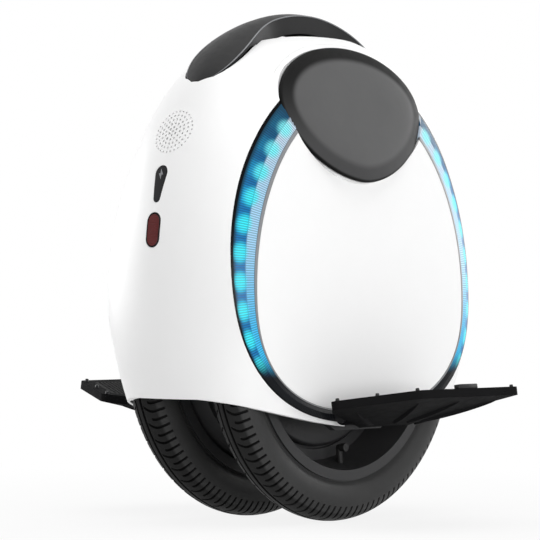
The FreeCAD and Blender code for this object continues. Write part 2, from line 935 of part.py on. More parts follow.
def motor_cover():
    """The left end cover of the motor: a raised disc, its flange and the bearing's housing."""
    house = bearing_outer_radius + bearing_housing_wall
    inside = bearing_face_y - bearing_width
    flange_y = cover_y + cover_flange
    back_y = cover_face_y - cover_plate
    back = [(bearing_outer_radius, inside), (house, inside), (house, back_y), (drum_bore, back_y)]
    flange = [(drum_bore, cover_y), (cover_radius, cover_y)]
    flange += [(cover_radius, flange_y), (disc_radius, flange_y)]
    disc = [(disc_radius, cover_face_y), (house + boss_slope, cover_face_y)]
    boss = [(house, bearing_face_y), (bearing_outer_radius, bearing_face_y)]
    body = spun(back + flange + disc + boss)
    rim_edges = [e for e in body.Edges if on_circle(e, disc_radius, cover_face_y)]
    return body.makeFillet(cover_round, rim_edges).cut(bolt_ring(SHAFT_EASE))


def on_circle(edge, radius, y):
    """Whether an edge is the circle of a radius about the axle at a place along it."""
    box = edge.BoundBox
    return max(abs(box.YMin - y), abs(box.YMax - y), abs(box.XLength / 2 - radius)) < SHAFT_EASE


def magnets():
    """Magnets round the inside of the drum."""
    sweep = 360.0 / magnet_count - magnet_gap_deg
    half = stator_width / 2
    face = polygon([V(magnet_radius, -half, 0), V(drum_bore, -half, 0),
                    V(drum_bore, half, 0), V(magnet_radius, half, 0)])
    one = moved(face.revolve(CENTRE, ALONG_Y, sweep), AXLE)
    return group(around(one, magnet_count))


def stator():
    """The fixed core: hub, teeth and tips, carried on the axle by a spider."""
    half = stator_width / 2
    yoke_radius = stator_hub_radius + stator_yoke
    yoke = ring(stator_hub_radius, yoke_radius, -half, half)
    tooth_half = V(0, half, tooth_width / 2)
    tooth = block(V(yoke_radius - EASE, 0, 0) - tooth_half, V(tip_radius + EASE, 0, 0) + tooth_half)
    tips = ring(tip_radius, stator_radius, -half, half)
    slot = block(V(stator_hub_radius, -half, -slot_mouth / 2), V(drum_radius, half, slot_mouth / 2))
    slot = turned(moved(slot, AXLE), 180.0 / tooth_count)
    tips = tips.cut(around(slot, tooth_count))
    thick = spider_thickness / 2
    spider = ring(axle_radius, stator_hub_radius + EASE, -thick, thick)
    spot = AXLE + V(spider_hole_circle, 0, 0)
    hole = cylinder(spider_hole_radius, spot - V(0, thick, 0), spot + V(0, thick, 0))
    spider = spider.cut(around(hole, spider_hole_count))
    return yoke.fuse(around(moved(tooth, AXLE), tooth_count) + [tips, spider]).removeSplitter()


def windings():
    """A coil round each tooth."""
    half = stator_width / 2 + EASE
    width = tooth_width / 2 + EASE
    reach = width + coil_thickness
    low = stator_hub_radius + stator_yoke + EASE
    high = math.sqrt(tip_radius ** 2 - reach ** 2) - EASE
    outer = block(V(low, -half - coil_thickness, -reach), V(high, half + coil_thickness, reach))
    coil = outer.cut(block(V(low, -half, -width), V(high, half, width)))
    return group(around(moved(coil, AXLE), tooth_count))


def bearing():
    """The left bearing, in its housing and on the axle."""
    inside = bearing_face_y - bearing_width
    return ring(axle_radius + SHAFT_EASE, bearing_outer_radius, inside, bearing_face_y)


# The frame

def axle():
    end = V(0, bracket_face_y + nut_thickness, 0)
    return cylinder(axle_radius, AXLE - end, AXLE + end)


def axle_spacer():
    """The sleeve between the left bearing and its bracket."""
    return ring(axle_radius, axle_radius + spacer_wall, bearing_face_y + EASE, bracket_y)


def axle_nut():
    corners = []
    for i in range(6):
        angle = math.pi * i / 3
        corners.append(AXLE + V(nut_radius * math.cos(angle), bracket_face_y, nut_radius * math.sin(angle)))
    nut = polygon(corners).extrude(V(0, nut_thickness, 0))
    return nut.cut(cylinder(axle_radius, AXLE, AXLE + V(0, 2 * bracket_face_y, 0)))


def arm_end():
    """The end of the bracket's front arm, where it holds the wheel arch liner."""
    reach = liner_outer + lug_offset
    angle = math.radians(bracket_arm_angle)
    return AXLE + V(reach * math.cos(angle), 0, reach * math.sin(angle))


def pedal_bracket():
    """The left bracket: axle hub, two arms to the liner and a leg to the pedal's tongue."""
    width = V(0, bracket_thickness, 0)
    hub = cylinder(bracket_hub_radius, AXLE + V(0, bracket_y, 0), AXLE + V(0, bracket_face_y, 0))
    arm_length = liner_outer + 2 * lug_offset
    arm_half = bracket_arm_width / 2
    arm = block(V(0, bracket_y, -arm_half), V(arm_length, bracket_face_y, arm_half))
    arms = [turned(moved(arm, AXLE), -a) for a in (bracket_arm_angle, 180.0 - bracket_arm_angle)]
    half = tongue_half_width
    leg_half = bracket_leg_width / 2
    right = [V(bracket_hub_radius, bracket_y, axle_z), V(leg_half, bracket_y, tongue_high_z)]
    right += [V(leg_half, bracket_y, tongue_low_z)]
    right += [V(leg_half - leg_chamfer, bracket_y, tongue_low_z - leg_drop)]
    leg = polygon(right + [V(-p.x, p.y, p.z) for p in reversed(right)]).extrude(width)
    tongue = block(V(-half, bracket_y, tongue_low_z), V(half, hinge_y, tongue_high_z))
    nose = cylinder(tongue_radius, V(-half, hinge_y, hinge_z), V(half, hinge_y, hinge_z))
    body = hub.fuse(arms + [leg, tongue, nose]).removeSplitter()
    holes = [cylinder(axle_radius, AXLE, AXLE + V(0, 2 * hinge_y, 0)), pin_bore(SHAFT_EASE)]
    return body.cut(holes + four_bolts(SHAFT_EASE))


def arm_bolt(grow):
    """The bolt, or with some room its hole, from the bracket's front arm into the liner's lug."""
    spot = arm_end()
    seat = spot + V(0, bracket_face_y - bracket_bolt_head_height, 0)
    shaft = cylinder(bracket_bolt_radius + grow, spot + V(0, bracket_y - bolt_bite - grow, 0), seat)
    head = cylinder(bracket_bolt_head_radius + grow, seat, spot + V(0, bracket_face_y, 0))
    return shaft.fuse(head).removeSplitter()


def four_bolts(grow):
    """The bolts of both brackets, or their holes."""
    one = arm_bolt(grow)
    pair = [one, reversed_way(one)]
    return pair + [mirrored(b) for b in pair]


def along_hinge(radius, start_x, end_x):
    """A round bar on the left pedal's hinge line."""
    return cylinder(radius, V(start_x, hinge_y, hinge_z), V(end_x, hinge_y, hinge_z))


def pin_bore(grow):
    half = tongue_half_width + knuckle_length + pin_head_thickness
    return along_hinge(pin_radius + grow, -half, half)


def hinge_pin():
    """The left pedal's pin, with a flat head at each end."""
    half = tongue_half_width + knuckle_length + 2 * EASE
    head = along_hinge(pin_radius + pin_head_wall, half, half + pin_head_thickness)
    return along_hinge(pin_radius, -half, half).fuse([head, reversed_way(head)]).removeSplitter()


def arch_liner():
    """The liner over the wheel, with a lug for each bracket bolt."""
    start = liner_start_deg
    half = bracket_y - EASE
    face = polygon([V(liner_radius, -half, 0), V(liner_outer, -half, 0),
                    V(liner_outer, half, 0), V(liner_radius, half, 0)])
    arch = moved(face.revolve(CENTRE, ALONG_Y, -(180.0 - 2 * start)), AXLE)
    arch = turned(arch, -start)
    lug_end = bracket_y - bolt_bite - lug_floor
    lug = cylinder(lug_radius, arm_end() + V(0, lug_end, 0), arm_end() + V(0, half, 0))
    lugs = [lug, mirrored(lug)]
    lugs += [reversed_way(one) for one in lugs]
    inside = ring(0, liner_radius, -bracket_y, bracket_y)
    return arch.fuse(lugs).cut(four_bolts(SHAFT_EASE) + [inside])


# What the shell holds

def battery_pack():
    """The front battery pack, curved to the liner."""
    half = battery_width / 2
    low = liner_outer + EASE
    high = low + battery_thickness
    face = polygon([V(low, -half, 0), V(high, -half, 0), V(high, half, 0), V(low, half, 0)])
    pack = moved(face.revolve(CENTRE, ALONG_Y, -(battery_end_deg - battery_start_deg)), AXLE)
    return turned(pack, -battery_start_deg)


def heat_sink():
    """A finned plate on top of the liner."""
    half_x = sink_length / 2
    half_y = sink_width / 2
    base_top = fin_base_z + sink_base
    base = block(V(-half_x, -half_y, fin_base_z), V(half_x, half_y, base_top))
    pitch = (sink_width - fin_thickness) / (fin_count - 1)
    fins = []
    for i in range(fin_count):
        root = V(-half_x, -half_y + pitch * i, base_top - EASE)
        fins.append(block(root, root + V(sink_length, fin_thickness, EASE + fin_height)))
    return base.fuse(fins).removeSplitter()


def control_board():
    """The controller: a board on the heat sink's fins, with its parts on top."""
    low = fin_base_z + sink_base + fin_height
    half_x = sink_length / 2
    half_y = sink_width / 2
    board = block(V(-half_x, -half_y, low), V(half_x, half_y, low + board_thickness))
    size = V(chip_length, chip_width, board_thickness + chip_height)
    chips = []
    for column in (-1, 0, 1):
        for row in (-1, 1):
            corner = V(column * sink_length / 3, row * sink_width / 4, low) - V(size.x / 2, size.y / 2, 0)
            chips.append(block(corner, corner + size))
    room = block(V(-half_x, -half_y, low), V(half_x, half_y, low + size.z))
    chips = [chip.common(room) for chip in chips]
    return board.fuse(chips).removeSplitter()


def tail_piece(prism):
    """The stretch of the tail's wall inside a prism, as a flush cover."""
    return tail_core(0.0).cut(tail_core(shell_wall)).common(prism)


def front_piece(prism):
    """The stretch of the front's wall inside a prism, as a flush cover."""
    return front_core(0.0).cut(front_core(shell_wall)).common(prism)


def lamp_board(half_width, half_height):
    """The flat board behind the front lamp, clear of the wall."""
    top = tail_frame(lamp_z + half_height)[0]
    face = -top.x - shell_wall - EASE
    size = V(0, half_width + lamp_board_margin, half_height + lamp_board_margin)
    middle = V(face, 0, lamp_z)
    board = block(middle - size - V(board_thickness, 0, 0), middle + size)
    return board.common(front_core(shell_wall + EASE))


def lamps():
    """The tail lamp and the headlamp, each a lens over a board."""
    far = 2 * shell_half_length
    near = shell_half_length / 2
    pane = pill(lamp_half_width - EASE, lamp_half_height - EASE, lamp_z, -far, -near)
    save("tail_lamp_lens", tail_piece(pane))
    save("tail_lamp_board", reversed_way(lamp_board(lamp_half_width, lamp_half_height)))
    pane = pill(headlamp_half_width - EASE, headlamp_half_height - EASE, lamp_z, near, far)
    save("headlamp_lens", front_piece(pane))
    save("headlamp_board", lamp_board(headlamp_half_width, headlamp_half_height))


def tail_fittings():
    """The charge flap over its socket, and the speaker behind its holes."""
    save("charge_flap", tail_piece(teardrop(flap_gap, -2 * shell_half_length, -shell_half_length / 2)))
    spot, out = tail_frame(flap_high_z)
    back = spot - out * (shell_wall + EASE)
    save("charge_socket", cylinder(socket_radius, back - out * socket_length, back))
    spot, out = tail_frame(speaker_z)
    driver = cylinder(driver_radius, spot - out * (shell_wall + driver_depth), spot)
    save("speaker_driver", driver.common(tail_core(shell_wall + EASE)))


def along_button(radius, start_x, end_x):
    """A round bar on the power button's line."""
    return cylinder(radius, V(start_x, 0, button_z), V(end_x, 0, button_z))


def button():
    """The power button on the front, and the switch that its stem presses."""
    face = -tail_frame(button_z)[0].x
    cap = front_piece(along_button(button_radius, shell_half_length / 2, 2 * shell_half_length))
    cap_back = face - shell_wall
    stem_end = cap_back - button_travel - button_stem_length
    stem = along_button(button_stem_radius, stem_end, cap_back + shell_wall / 2)
    save("power_button", cap.fuse(stem).removeSplitter())
    half = switch_size / 2
    stop = stem_end - button_travel - EASE
    switch = block(V(stop - half, -half, button_z - half), V(face, half, button_z + half))
    stem_room = along_button(button_stem_radius + EASE, stop, face)
    cap_room = along_button(button_radius + EASE, cap_back - shell_wall - button_travel - 2 * EASE, face)
    save("button_switch", switch.common(front_core(shell_wall + EASE)).cut([stem_room, cap_room]))


# The left pedal, in its own flat frame: X along the hinge, Y outwards, Z up from the pin

def placed(shape):
    """Tilt a flat pedal piece and put it at the left hinge."""
    copy = turned(shape, pedal_tilt_deg, CENTRE, V(1, 0, 0))
    copy.translate(V(0, hinge_y, hinge_z))
    return copy


def inset_corners(corners, inset):
    """A polygon's corners, with every edge moved inwards by an inset."""
    moved_in = []
    for before, here, behind in zip(corners[-1:] + corners[:-1], corners, corners[1:] + corners[:1]):
        first = (here - before).normalize()
        second = (behind - here).normalize()
        normals = [V(-edge.y, edge.x, 0) for edge in (first, second)]
        moved_in.append(here + (normals[0] + normals[1]) * (inset / (1 + normals[0].dot(normals[1]))))
    return moved_in


def pedal_outline(inset):
    """The pedal's six corners, drawn in by an inset."""
    corners = [V(pedal_half_inner, pedal_inner_reach, 0), V(pedal_front_mid, pedal_corner_reach, 0),
               V(pedal_half_outer, pedal_reach, 0), V(-pedal_half_outer, pedal_reach, 0),
               V(-pedal_rear_mid, pedal_corner_reach, 0), V(-pedal_half_inner, pedal_inner_reach, 0)]
    return inset_corners(corners, inset)


def keel_outline():
    """The six corners of the keel under the pedal's root."""
    right = [V(keel_half_inner, pedal_inner_reach, 0), V(keel_half_mid, keel_mid_reach, 0),
             V(keel_half_outer, keel_reach, 0)]
    return right + [V(-p.x, p.y, 0) for p in reversed(right)]


def rounded_wire(corners, radius, z):
    """A closed outline at a height, with its corners rounded."""
    arcs = []
    for before, here, behind in zip(corners[-1:] + corners[:-1], corners, corners[1:] + corners[:1]):
        back = (before - here).normalize()
        on = (behind - here).normalize()
        half = math.acos(back.dot(on)) / 2
        inward = (back + on).normalize()
        start = here + back * (radius / math.tan(half))
        middle = here + inward * (radius / math.sin(half) - radius)
        end = here + on * (radius / math.tan(half))
        arcs.append([p + V(0, 0, z) for p in (start, middle, end)])
    edges = []
    for arc, following in zip(arcs, arcs[1:] + arcs[:1]):
        edges.append(Part.Arc(*arc).toShape())
        edges.append(Part.makeLine(arc[2], following[0]))
    return Part.Wire(edges)


def flat_prism(inset, radius, low, high):
    face = Part.Face(rounded_wire(pedal_outline(inset), radius, low))
    return face.extrude(V(0, 0, high - low))


def stud_spots():
    """Where the studs stand: along the outer edge, the slanted edges and the side corners."""
    corners = pedal_outline(stud_inset)[1:5]
    spots = []
    for start, end in zip(corners, corners[1:]):
        spots += [start + (end - start) * (i / studs_per_edge) for i in range(studs_per_edge)]
    spots.append(corners[-1])
    inner = pedal_reach - 2 * stud_inset
    clear_of_buffer = buffer_length / 2 + stud_inset
    return [spot for spot in spots if abs(spot.x) > clear_of_buffer or spot.y < inner]


def stud_shaft(spot, grow):
    low = spot + V(0, 0, pedal_top - stud_shank - grow)
    return cylinder(stud_shank_radius + grow, low, spot + V(0, 0, pedal_top))


def stud(spot):
    head = Part.makeCone(stud_radius, stud_radius * stud_taper, stud_height, spot + V(0, 0, pedal_top))
    return stud_shaft(spot, 0.0).fuse(head).removeSplitter()


def pedal_hull():
    """The platform's plain body: an even edge, and an underside that slopes down to its keel."""
    edge_low = pedal_top - pedal_edge_thickness
    root_low = pedal_top - pedal_root_thickness
    rim = flat_prism(0.0, pedal_round, edge_low, pedal_top)
    keel = rounded_wire(keel_outline(), keel_round, root_low)
    outline = rounded_wire(pedal_outline(0.0), pedal_round, edge_low)
    return rim.fuse(Part.makeLoft([keel, outline], True, True)).removeSplitter()


def knuckle():
    """The right-hand hinge knuckle, with its root in the platform."""
    start = V(tongue_half_width + EASE, 0, 0)
    end = start + V(knuckle_length, 0, 0)
    barrel = cylinder(knuckle_radius, start, end)
    drop = V(0, 0, knuckle_radius)
    return barrel.fuse(block(start - drop, end + drop + V(0, knuckle_root, 0)))


def pedal_plate():
    """The folding platform: a hull with two hinge knuckles, and room for its mat and studs."""
    body = pedal_hull().fuse([knuckle(), reversed_way(knuckle())])
    gap = tongue_half_width + EASE
    reach = V(gap, tongue_radius + tongue_gap, pedal_root_thickness)
    tongue_room = block(V(-gap, -2 * reach.y, -reach.z), reach)
    bore = cylinder(pin_radius + SHAFT_EASE, V(-pedal_rear_mid, 0, 0), V(pedal_rear_mid, 0, 0))
    knuckle_end = V(gap + knuckle_length, 0, 0)
    head_reach = V(2 * pin_head_thickness + pin_head_gap, 0, 0)
    head_room = cylinder(pin_radius + pin_head_wall + pin_head_gap, knuckle_end, knuckle_end + head_reach)
    cuts = [tongue_room, bore, head_room, reversed_way(head_room)]
    cuts += [flat_prism(mat_inset, mat_round, pedal_top - mat_depth, pedal_top)]
    cuts += [stud_shaft(spot, SHAFT_EASE) for spot in stud_spots()]
    return placed(body.cut(cuts))


def pedal_tread():
    """The grip mat let into the platform."""
    return placed(flat_prism(mat_inset + mat_gap, mat_round, pedal_top - mat_depth, pedal_top))


def pedal_studs():
    return placed(group([stud(spot) for spot in stud_spots()]))


def pedal_buffer():
    """The bumper in the middle of the outer edge."""
    half = buffer_length / 2
    y = pedal_reach - buffer_inset - buffer_width
    return placed(block(V(-half, y, pedal_top), V(half, y + buffer_width, pedal_top + buffer_height)))


def build_wheel():
    save_pair("tyre", tyre())
    save_pair("inner_tube", inner_tube())
    save_pair("rim", rim())
    save("motor_drum", motor_drum())
    save("magnet_ring", magnets())
    save_pair("motor_cover", motor_cover())
    save_pair("bearing", bearing())
    bolts = bolt_ring(0.0)
    save("rim_bolts", group(bolts + [mirrored(b) for b in bolts]))


def build_frame():
    save("axle", axle())
    save("axle_spacers", group([axle_spacer(), mirrored(axle_spacer())]))
    save("axle_nuts", group([axle_nut(), mirrored(axle_nut())]))
    save("motor_stator", stator())
    save("motor_windings", windings())
    save_pair("pedal_bracket", pedal_bracket())
    save("bracket_bolts", group(four_bolts(0.0)))
    save_pair("hinge_pin", hinge_pin())
    save("wheel_arch_liner", arch_liner())
    save("battery_pack_front", battery_pack())
    save("battery_pack_rear", reversed_way(battery_pack()))
    save("heat_sink", heat_sink())
    save("control_board", control_board())


def build_shell():
    save("main_shell", main_shell())
    save("carry_handle", carry_handle())
    save("handle_well", handle_well())
    save_pair("side_panel", side_panel())
    back = guide_thickness
    save_pair("band_trim", trimmed(band_ring(band_seam, trim_share, 0.0, back)))
    guide_start = trim_share + band_seam
    save_pair("light_guide", trimmed(band_ring(guide_start, 1 - bead_share - band_seam, 0.0, back)))
    save_pair("panel_bead", trimmed(band_ring(1 - bead_share, 1 - band_seam, -bead_stand, back)))
    strip = band_ring(strip_start, strip_end, back + EASE, back + EASE + strip_thickness)
    save_pair("led_strip", trimmed(strip))
    save_pair("leg_pad", leg_pad())
    lamps()
    tail_fittings()
    button()


def build_pedals():
    save_pair("pedal_plate", pedal_plate())
    save_pair("pedal_tread", pedal_tread())
    save_pair("pedal_studs", pedal_studs())
    save_pair("pedal_buffer", pedal_buffer())


build_wheel()
build_frame()
build_shell()
build_pedals()
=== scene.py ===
"""Dress the electric unicycle: its finishes, lit bands, pads and tyres, and the studio round it."""

import json
import logging
import math
from dataclasses import dataclass
from enum import Enum

import bmesh
import bpy
import numpy as np
from mathutils import Matrix, Vector
from mathutils.bvhtree import BVHTree


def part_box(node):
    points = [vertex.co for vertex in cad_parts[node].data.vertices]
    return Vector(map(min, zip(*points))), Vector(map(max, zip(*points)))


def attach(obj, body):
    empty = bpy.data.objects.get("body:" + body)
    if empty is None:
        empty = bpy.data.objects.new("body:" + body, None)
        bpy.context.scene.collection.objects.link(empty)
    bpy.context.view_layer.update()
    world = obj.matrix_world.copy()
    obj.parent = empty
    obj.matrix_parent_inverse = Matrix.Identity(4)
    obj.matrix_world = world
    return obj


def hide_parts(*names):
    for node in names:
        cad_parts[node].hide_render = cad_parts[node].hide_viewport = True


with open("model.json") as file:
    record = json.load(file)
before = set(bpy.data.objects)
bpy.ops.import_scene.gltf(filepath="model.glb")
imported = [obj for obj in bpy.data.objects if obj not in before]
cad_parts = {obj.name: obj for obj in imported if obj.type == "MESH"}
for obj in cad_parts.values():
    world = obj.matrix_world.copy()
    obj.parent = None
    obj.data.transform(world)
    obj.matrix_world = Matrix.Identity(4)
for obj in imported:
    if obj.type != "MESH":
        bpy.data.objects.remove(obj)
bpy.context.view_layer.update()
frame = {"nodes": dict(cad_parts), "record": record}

log = logging.getLogger("unicycle")

Socket = bpy.types.NodeSocket
Colour = tuple[float, float, float]
Spot = tuple[float, float, float]
Span = tuple[float, float]

MAIN_BODY = "frame_and_shell"
WHEEL_BODY = "wheel"

WEAR_SIZE = 0.008
WEAR_DETAIL = 4.0
WEAR_RANGE = (0.25, 0.75)
WEAR_SHARES = (0.92, 1.08)
BLOTCH_SIZE = 0.03
BLOTCH_DETAIL = 3.0
BRUSHED_STRETCH = (0.05, 1.0, 1.0)
FOAM_CELLS = 6
COAT_ROUGHNESS = 0.08
MESH_MERGE = 1e-6
COPY_MERGE = 1e-7
EDGE_SAMPLES = 6


class Side(Enum):
    """The rider's left and right side of the wheel."""

    LEFT = 1.0
    RIGHT = -1.0

    @property
    def word(self) -> str:
        """The ending of this side's node names."""
        return self.name.lower()


class End(Enum):
    """The end of the wheel that a face looks to, as its way along X."""

    TAIL = -1.0
    FRONT = 1.0


class Cut(Enum):
    """The sipe whose floor a line across the tread follows."""

    NONE = 0
    SHORT = 1
    LONG = 2


class Grain(Enum):
    """What a surface shows close up."""

    SMOOTH = "smooth"
    MOULDED = "moulded"
    RUBBER = "rubber"
    BRUSHED = "brushed"
    FOAM = "foam"


class ShaderGraph:
    """A material's nodes, with short calls to add and join them."""

    def __init__(self, name: str) -> None:
        """Start a material with a Principled shader.

        Args:
            name: The material's name.
        """
        self.material = bpy.data.materials.new(name)
        self.material.use_nodes = True
        self.tree = self.material.node_tree
        self.tree.nodes.clear()
        self.output = self.add("ShaderNodeOutputMaterial")
        self.shader = self.add("ShaderNodeBsdfPrincipled")
        self.tree.links.new(self.shader.outputs[0], self.output.inputs["Surface"])
        self._object_coords: Socket | None = None

    def add(self, kind: str, **settings: object) -> bpy.types.Node:
        """Add a node and set its properties.

        Args:
            kind: The node's type.
            settings: Values of the node's properties.

        Returns:
            The node.
        """
        node = self.tree.nodes.new(kind)
        for name, value in settings.items():
            setattr(node, name, value)
        return node

    def feed(self, socket: Socket, value: object) -> None:
        """Link a socket to an output, or set its value.

        Args:
            socket: The input.
            value: An output socket, a number, a colour or a vector.
        """
        if isinstance(value, bpy.types.NodeSocket):
            self.tree.links.new(value, socket)
        elif isinstance(value, tuple) and socket.type == "RGBA":
            socket.default_value = (*value, 1.0)
        else:
            socket.default_value = value

    def set(self, name: str, value: object) -> None:
        """Feed one of the shader's own sockets."""
        self.feed(self.shader.inputs[name], value)

    def coords(self) -> Socket:
        """The piece's own coordinates.

        Returns:
            The coordinates in metres.
        """
        if self._object_coords is None:
            self._object_coords = self.add("ShaderNodeTexCoord").outputs["Object"]
        return self._object_coords

    def axis(self, name: str) -> Socket:
        """One of the piece's own coordinates.

        Args:
            name: X, Y or Z.

        Returns:
            The coordinate.
        """
        node = self.add("ShaderNodeSeparateXYZ")
        self.feed(node.inputs[0], self.coords())
        return node.outputs[name]

    def attribute(self, name: str) -> Socket:
        """A number stored on the piece's points."""
        return self.add("ShaderNodeAttribute", attribute_name=name).outputs["Fac"]

    def calc(self, operation: str, first: object, second: object = 0.0) -> Socket:
        """Work out one sum.

        Args:
            operation: The Math node's operation.
            first: A socket or a number.
            second: A socket or a number.

        Returns:
            The result.
        """
        node = self.add("ShaderNodeMath", operation=operation)
        self.feed(node.inputs[0], first)
        self.feed(node.inputs[1], second)
        return node.outputs[0]

    def spread(self, value: Socket, low: float, high: float, start: float = 0.0, end: float = 1.0) -> Socket:
        """Map a range of a value onto another, softly and within its ends.

        Args:
            value: The value to map.
            low: The value that gives start.
            high: The value that gives end.
            start: The result at low.
            end: The result at high.

        Returns:
            The mapped value.
        """
        node = self.add("ShaderNodeMapRange", interpolation_type="SMOOTHSTEP")
        for index, number in enumerate((value, low, high, start, end)):
            self.feed(node.inputs[index], number)
        return node.outputs[0]

    def noise(self, size: float, detail: float = 2.0, stretch: Spot = (1.0, 1.0, 1.0)) -> Socket:
        """Noise whose blotches have a size in metres.

        Args:
            size: The size of one blotch.
            detail: How many finer layers it has.
            stretch: How much the pattern is squeezed along each axis.

        Returns:
            A value from 0 to 1.
        """
        mapping = self.add("ShaderNodeMapping")
        self.feed(mapping.inputs["Vector"], self.coords())
        mapping.inputs["Scale"].default_value = stretch
        node = self.add("ShaderNodeTexNoise")
        self.feed(node.inputs["Vector"], mapping.outputs[0])
        node.inputs["Scale"].default_value = 1.0 / size
        node.inputs["Detail"].default_value = detail
        return node.outputs[0]

    def blend(self, share: object, first: object, second: object) -> Socket:
        """Mix two colours.

        Args:
            share: How much of the second, from 0 to 1.
            first: A colour or a socket.
            second: A colour or a socket.

        Returns:
            The mixed colour.
        """
        node = self.add("ShaderNodeMix", data_type="RGBA")
        self.feed(node.inputs[0], share)
        self.feed(node.inputs[6], first)
        self.feed(node.inputs[7], second)
        return node.outputs[2]

    def relief(self, height: Socket, depth: float, under: Socket | None = None) -> Socket:
        """Turn a height into a bumped normal.

        Args:
            height: The height, from 0 to 1.
            depth: The height of 1, in metres.
            under: A normal to start from.

        Returns:
            The normal.
        """
        node = self.add("ShaderNodeBump")
        node.inputs["Distance"].default_value = depth
        self.feed(node.inputs["Height"], height)
        if under is not None:
            self.feed(node.inputs["Normal"], under)
        return node.outputs[0]

    def rounded(self, radius: float) -> Socket:
        """A normal that rounds sharp edges.

        Args:
            radius: The small radius of the edges.

        Returns:
            The normal.
        """
        node = self.add("ShaderNodeBevel", samples=EDGE_SAMPLES)
        node.inputs["Radius"].default_value = radius
        return node.outputs[0]


@dataclass(frozen=True)
class Finish:
    """One surface of the record: its colour, gloss and close-up grain."""

    slot: str
    colour: Colour
    roughness: float
    metallic: float = 0.0
    specular: float = 0.5
    grain: Grain = Grain.MOULDED
    grain_size: float = 0.0007
    grain_depth: float = 0.00003
    shade: float = 0.06
    coat: float = 0.0
    edge: float = 0.0

    def material(self) -> bpy.types.Material:
        """Build the finish as a procedural material.

        Returns:
            The material.
        """
        graph = ShaderGraph(self.slot + "_finish")
        graph.set("Base Color", self.tone(graph, self.colour))
        wear = graph.noise(WEAR_SIZE, WEAR_DETAIL)
        smooth, rough = (self.roughness * share for share in WEAR_SHARES)
        graph.set("Roughness", graph.spread(wear, *WEAR_RANGE, smooth, rough))
        graph.set("Metallic", self.metallic)
        graph.set("Specular IOR Level", self.specular)
        graph.set("Coat Weight", self.coat)
        graph.set("Coat Roughness", COAT_ROUGHNESS)
        base = graph.rounded(self.edge) if self.edge else None
        if self.grain is not Grain.SMOOTH:
            graph.set("Normal", graph.relief(self.grain_height(graph), self.grain_depth, base))
        elif base is not None:
            graph.set("Normal", base)
        return graph.material

    def tone(self, graph: ShaderGraph, colour: Colour) -> Socket:
        """A colour with soft lighter and darker blotches.

        Args:
            graph: The material's nodes.
            colour: The middle colour.

        Returns:
            The mottled colour.
        """
        dark = tuple(c * (1.0 - self.shade) for c in colour)
        light = tuple(min(1.0, c * (1.0 + self.shade)) for c in colour)
        return graph.blend(graph.noise(BLOTCH_SIZE, BLOTCH_DETAIL), dark, light)

    def grain_height(self, graph: ShaderGraph) -> Socket:
        """The close-up relief of this finish.

        Args:
            graph: The material's nodes.

        Returns:
            A height from 0 to 1.
        """
        if self.grain is Grain.BRUSHED:
            return graph.noise(self.grain_size, 2.0, BRUSHED_STRETCH)
        if self.grain is Grain.FOAM:
            fine = graph.noise(self.grain_size, 2.0)
            return graph.calc("ADD", fine, graph.noise(FOAM_CELLS * self.grain_size, 1.0))
        return graph.noise(self.grain_size, 3.0 if self.grain is Grain.RUBBER else 1.0)


@dataclass(frozen=True)
class PadFinish(Finish):
    """The leg pad's skin: a darker rolled border round a paler face, with painted shade darkening the border
    towards its top and a painted shadow, near black, on its side wall.
    """

    border: Colour = (0.054, 0.054, 0.055)
    # Painted shade: the border darkens to this near black towards the pad's top.
    brow_painted_shade: Colour = (0.006, 0.006, 0.006)
    # Painted shadow: the pad's side wall is near black, as if it stood in shade.
    wall: Colour = (0.003, 0.003, 0.003)
    shadow_wall_insets: Span = (0.0008, 0.0026)
    face_insets: Span = (0.0110, 0.0185)
    brow_shade_heights: Span = (0.360, 0.440)

    def tone(self, graph: ShaderGraph, colour: Colour) -> Socket:
        """The face's colour inside the crease, the border's outside it, with painted shade darkest at its top
        and a painted black shadow on the side wall.

        Args:
            graph: The material's nodes.
            colour: The face's colour.

        Returns:
            The colour.
        """
        inset = graph.attribute("inset")
        # Painted shade on the border, darkest at the pad's top.
        border = graph.blend(graph.spread(graph.axis("Z"), *self.brow_shade_heights), self.border, self.brow_painted_shade)
        # Painted shadow: near black on the side wall, just inside the outline.
        border = graph.blend(graph.spread(inset, *self.shadow_wall_insets), self.wall, border)
        return graph.blend(graph.spread(inset, *self.face_insets), border, super().tone(graph, colour))


@dataclass(frozen=True)
class TyreFinish(Finish):
    """Tyre rubber: a paler side wall, with painted shade making the tread darker and the grooves black."""

    # Painted shade: the tread is darker than the wall, as if it faced away from the light.
    tread: Colour = (0.011, 0.011, 0.011)
    # Painted shade: near black in the grooves and sipes.
    groove: Colour = (0.0015, 0.0015, 0.0015)

    def tone(self, graph: ShaderGraph, colour: Colour) -> Socket:
        """The wall's colour, the darker tread's where a point lies on it, and black in the grooves, both
        painted shade.

        Args:
            graph: The material's nodes.
            colour: The wall's colour.

        Returns:
            The colour.
        """
        wall = super().tone(graph, colour)
        tread = super().tone(graph, self.tread)
        # Painted shade: darker on the tread.
        rubber = graph.blend(graph.attribute("tread"), wall, tread)
        # Painted shade: black where the points are deep.
        return graph.blend(graph.attribute("deep"), rubber, self.groove)


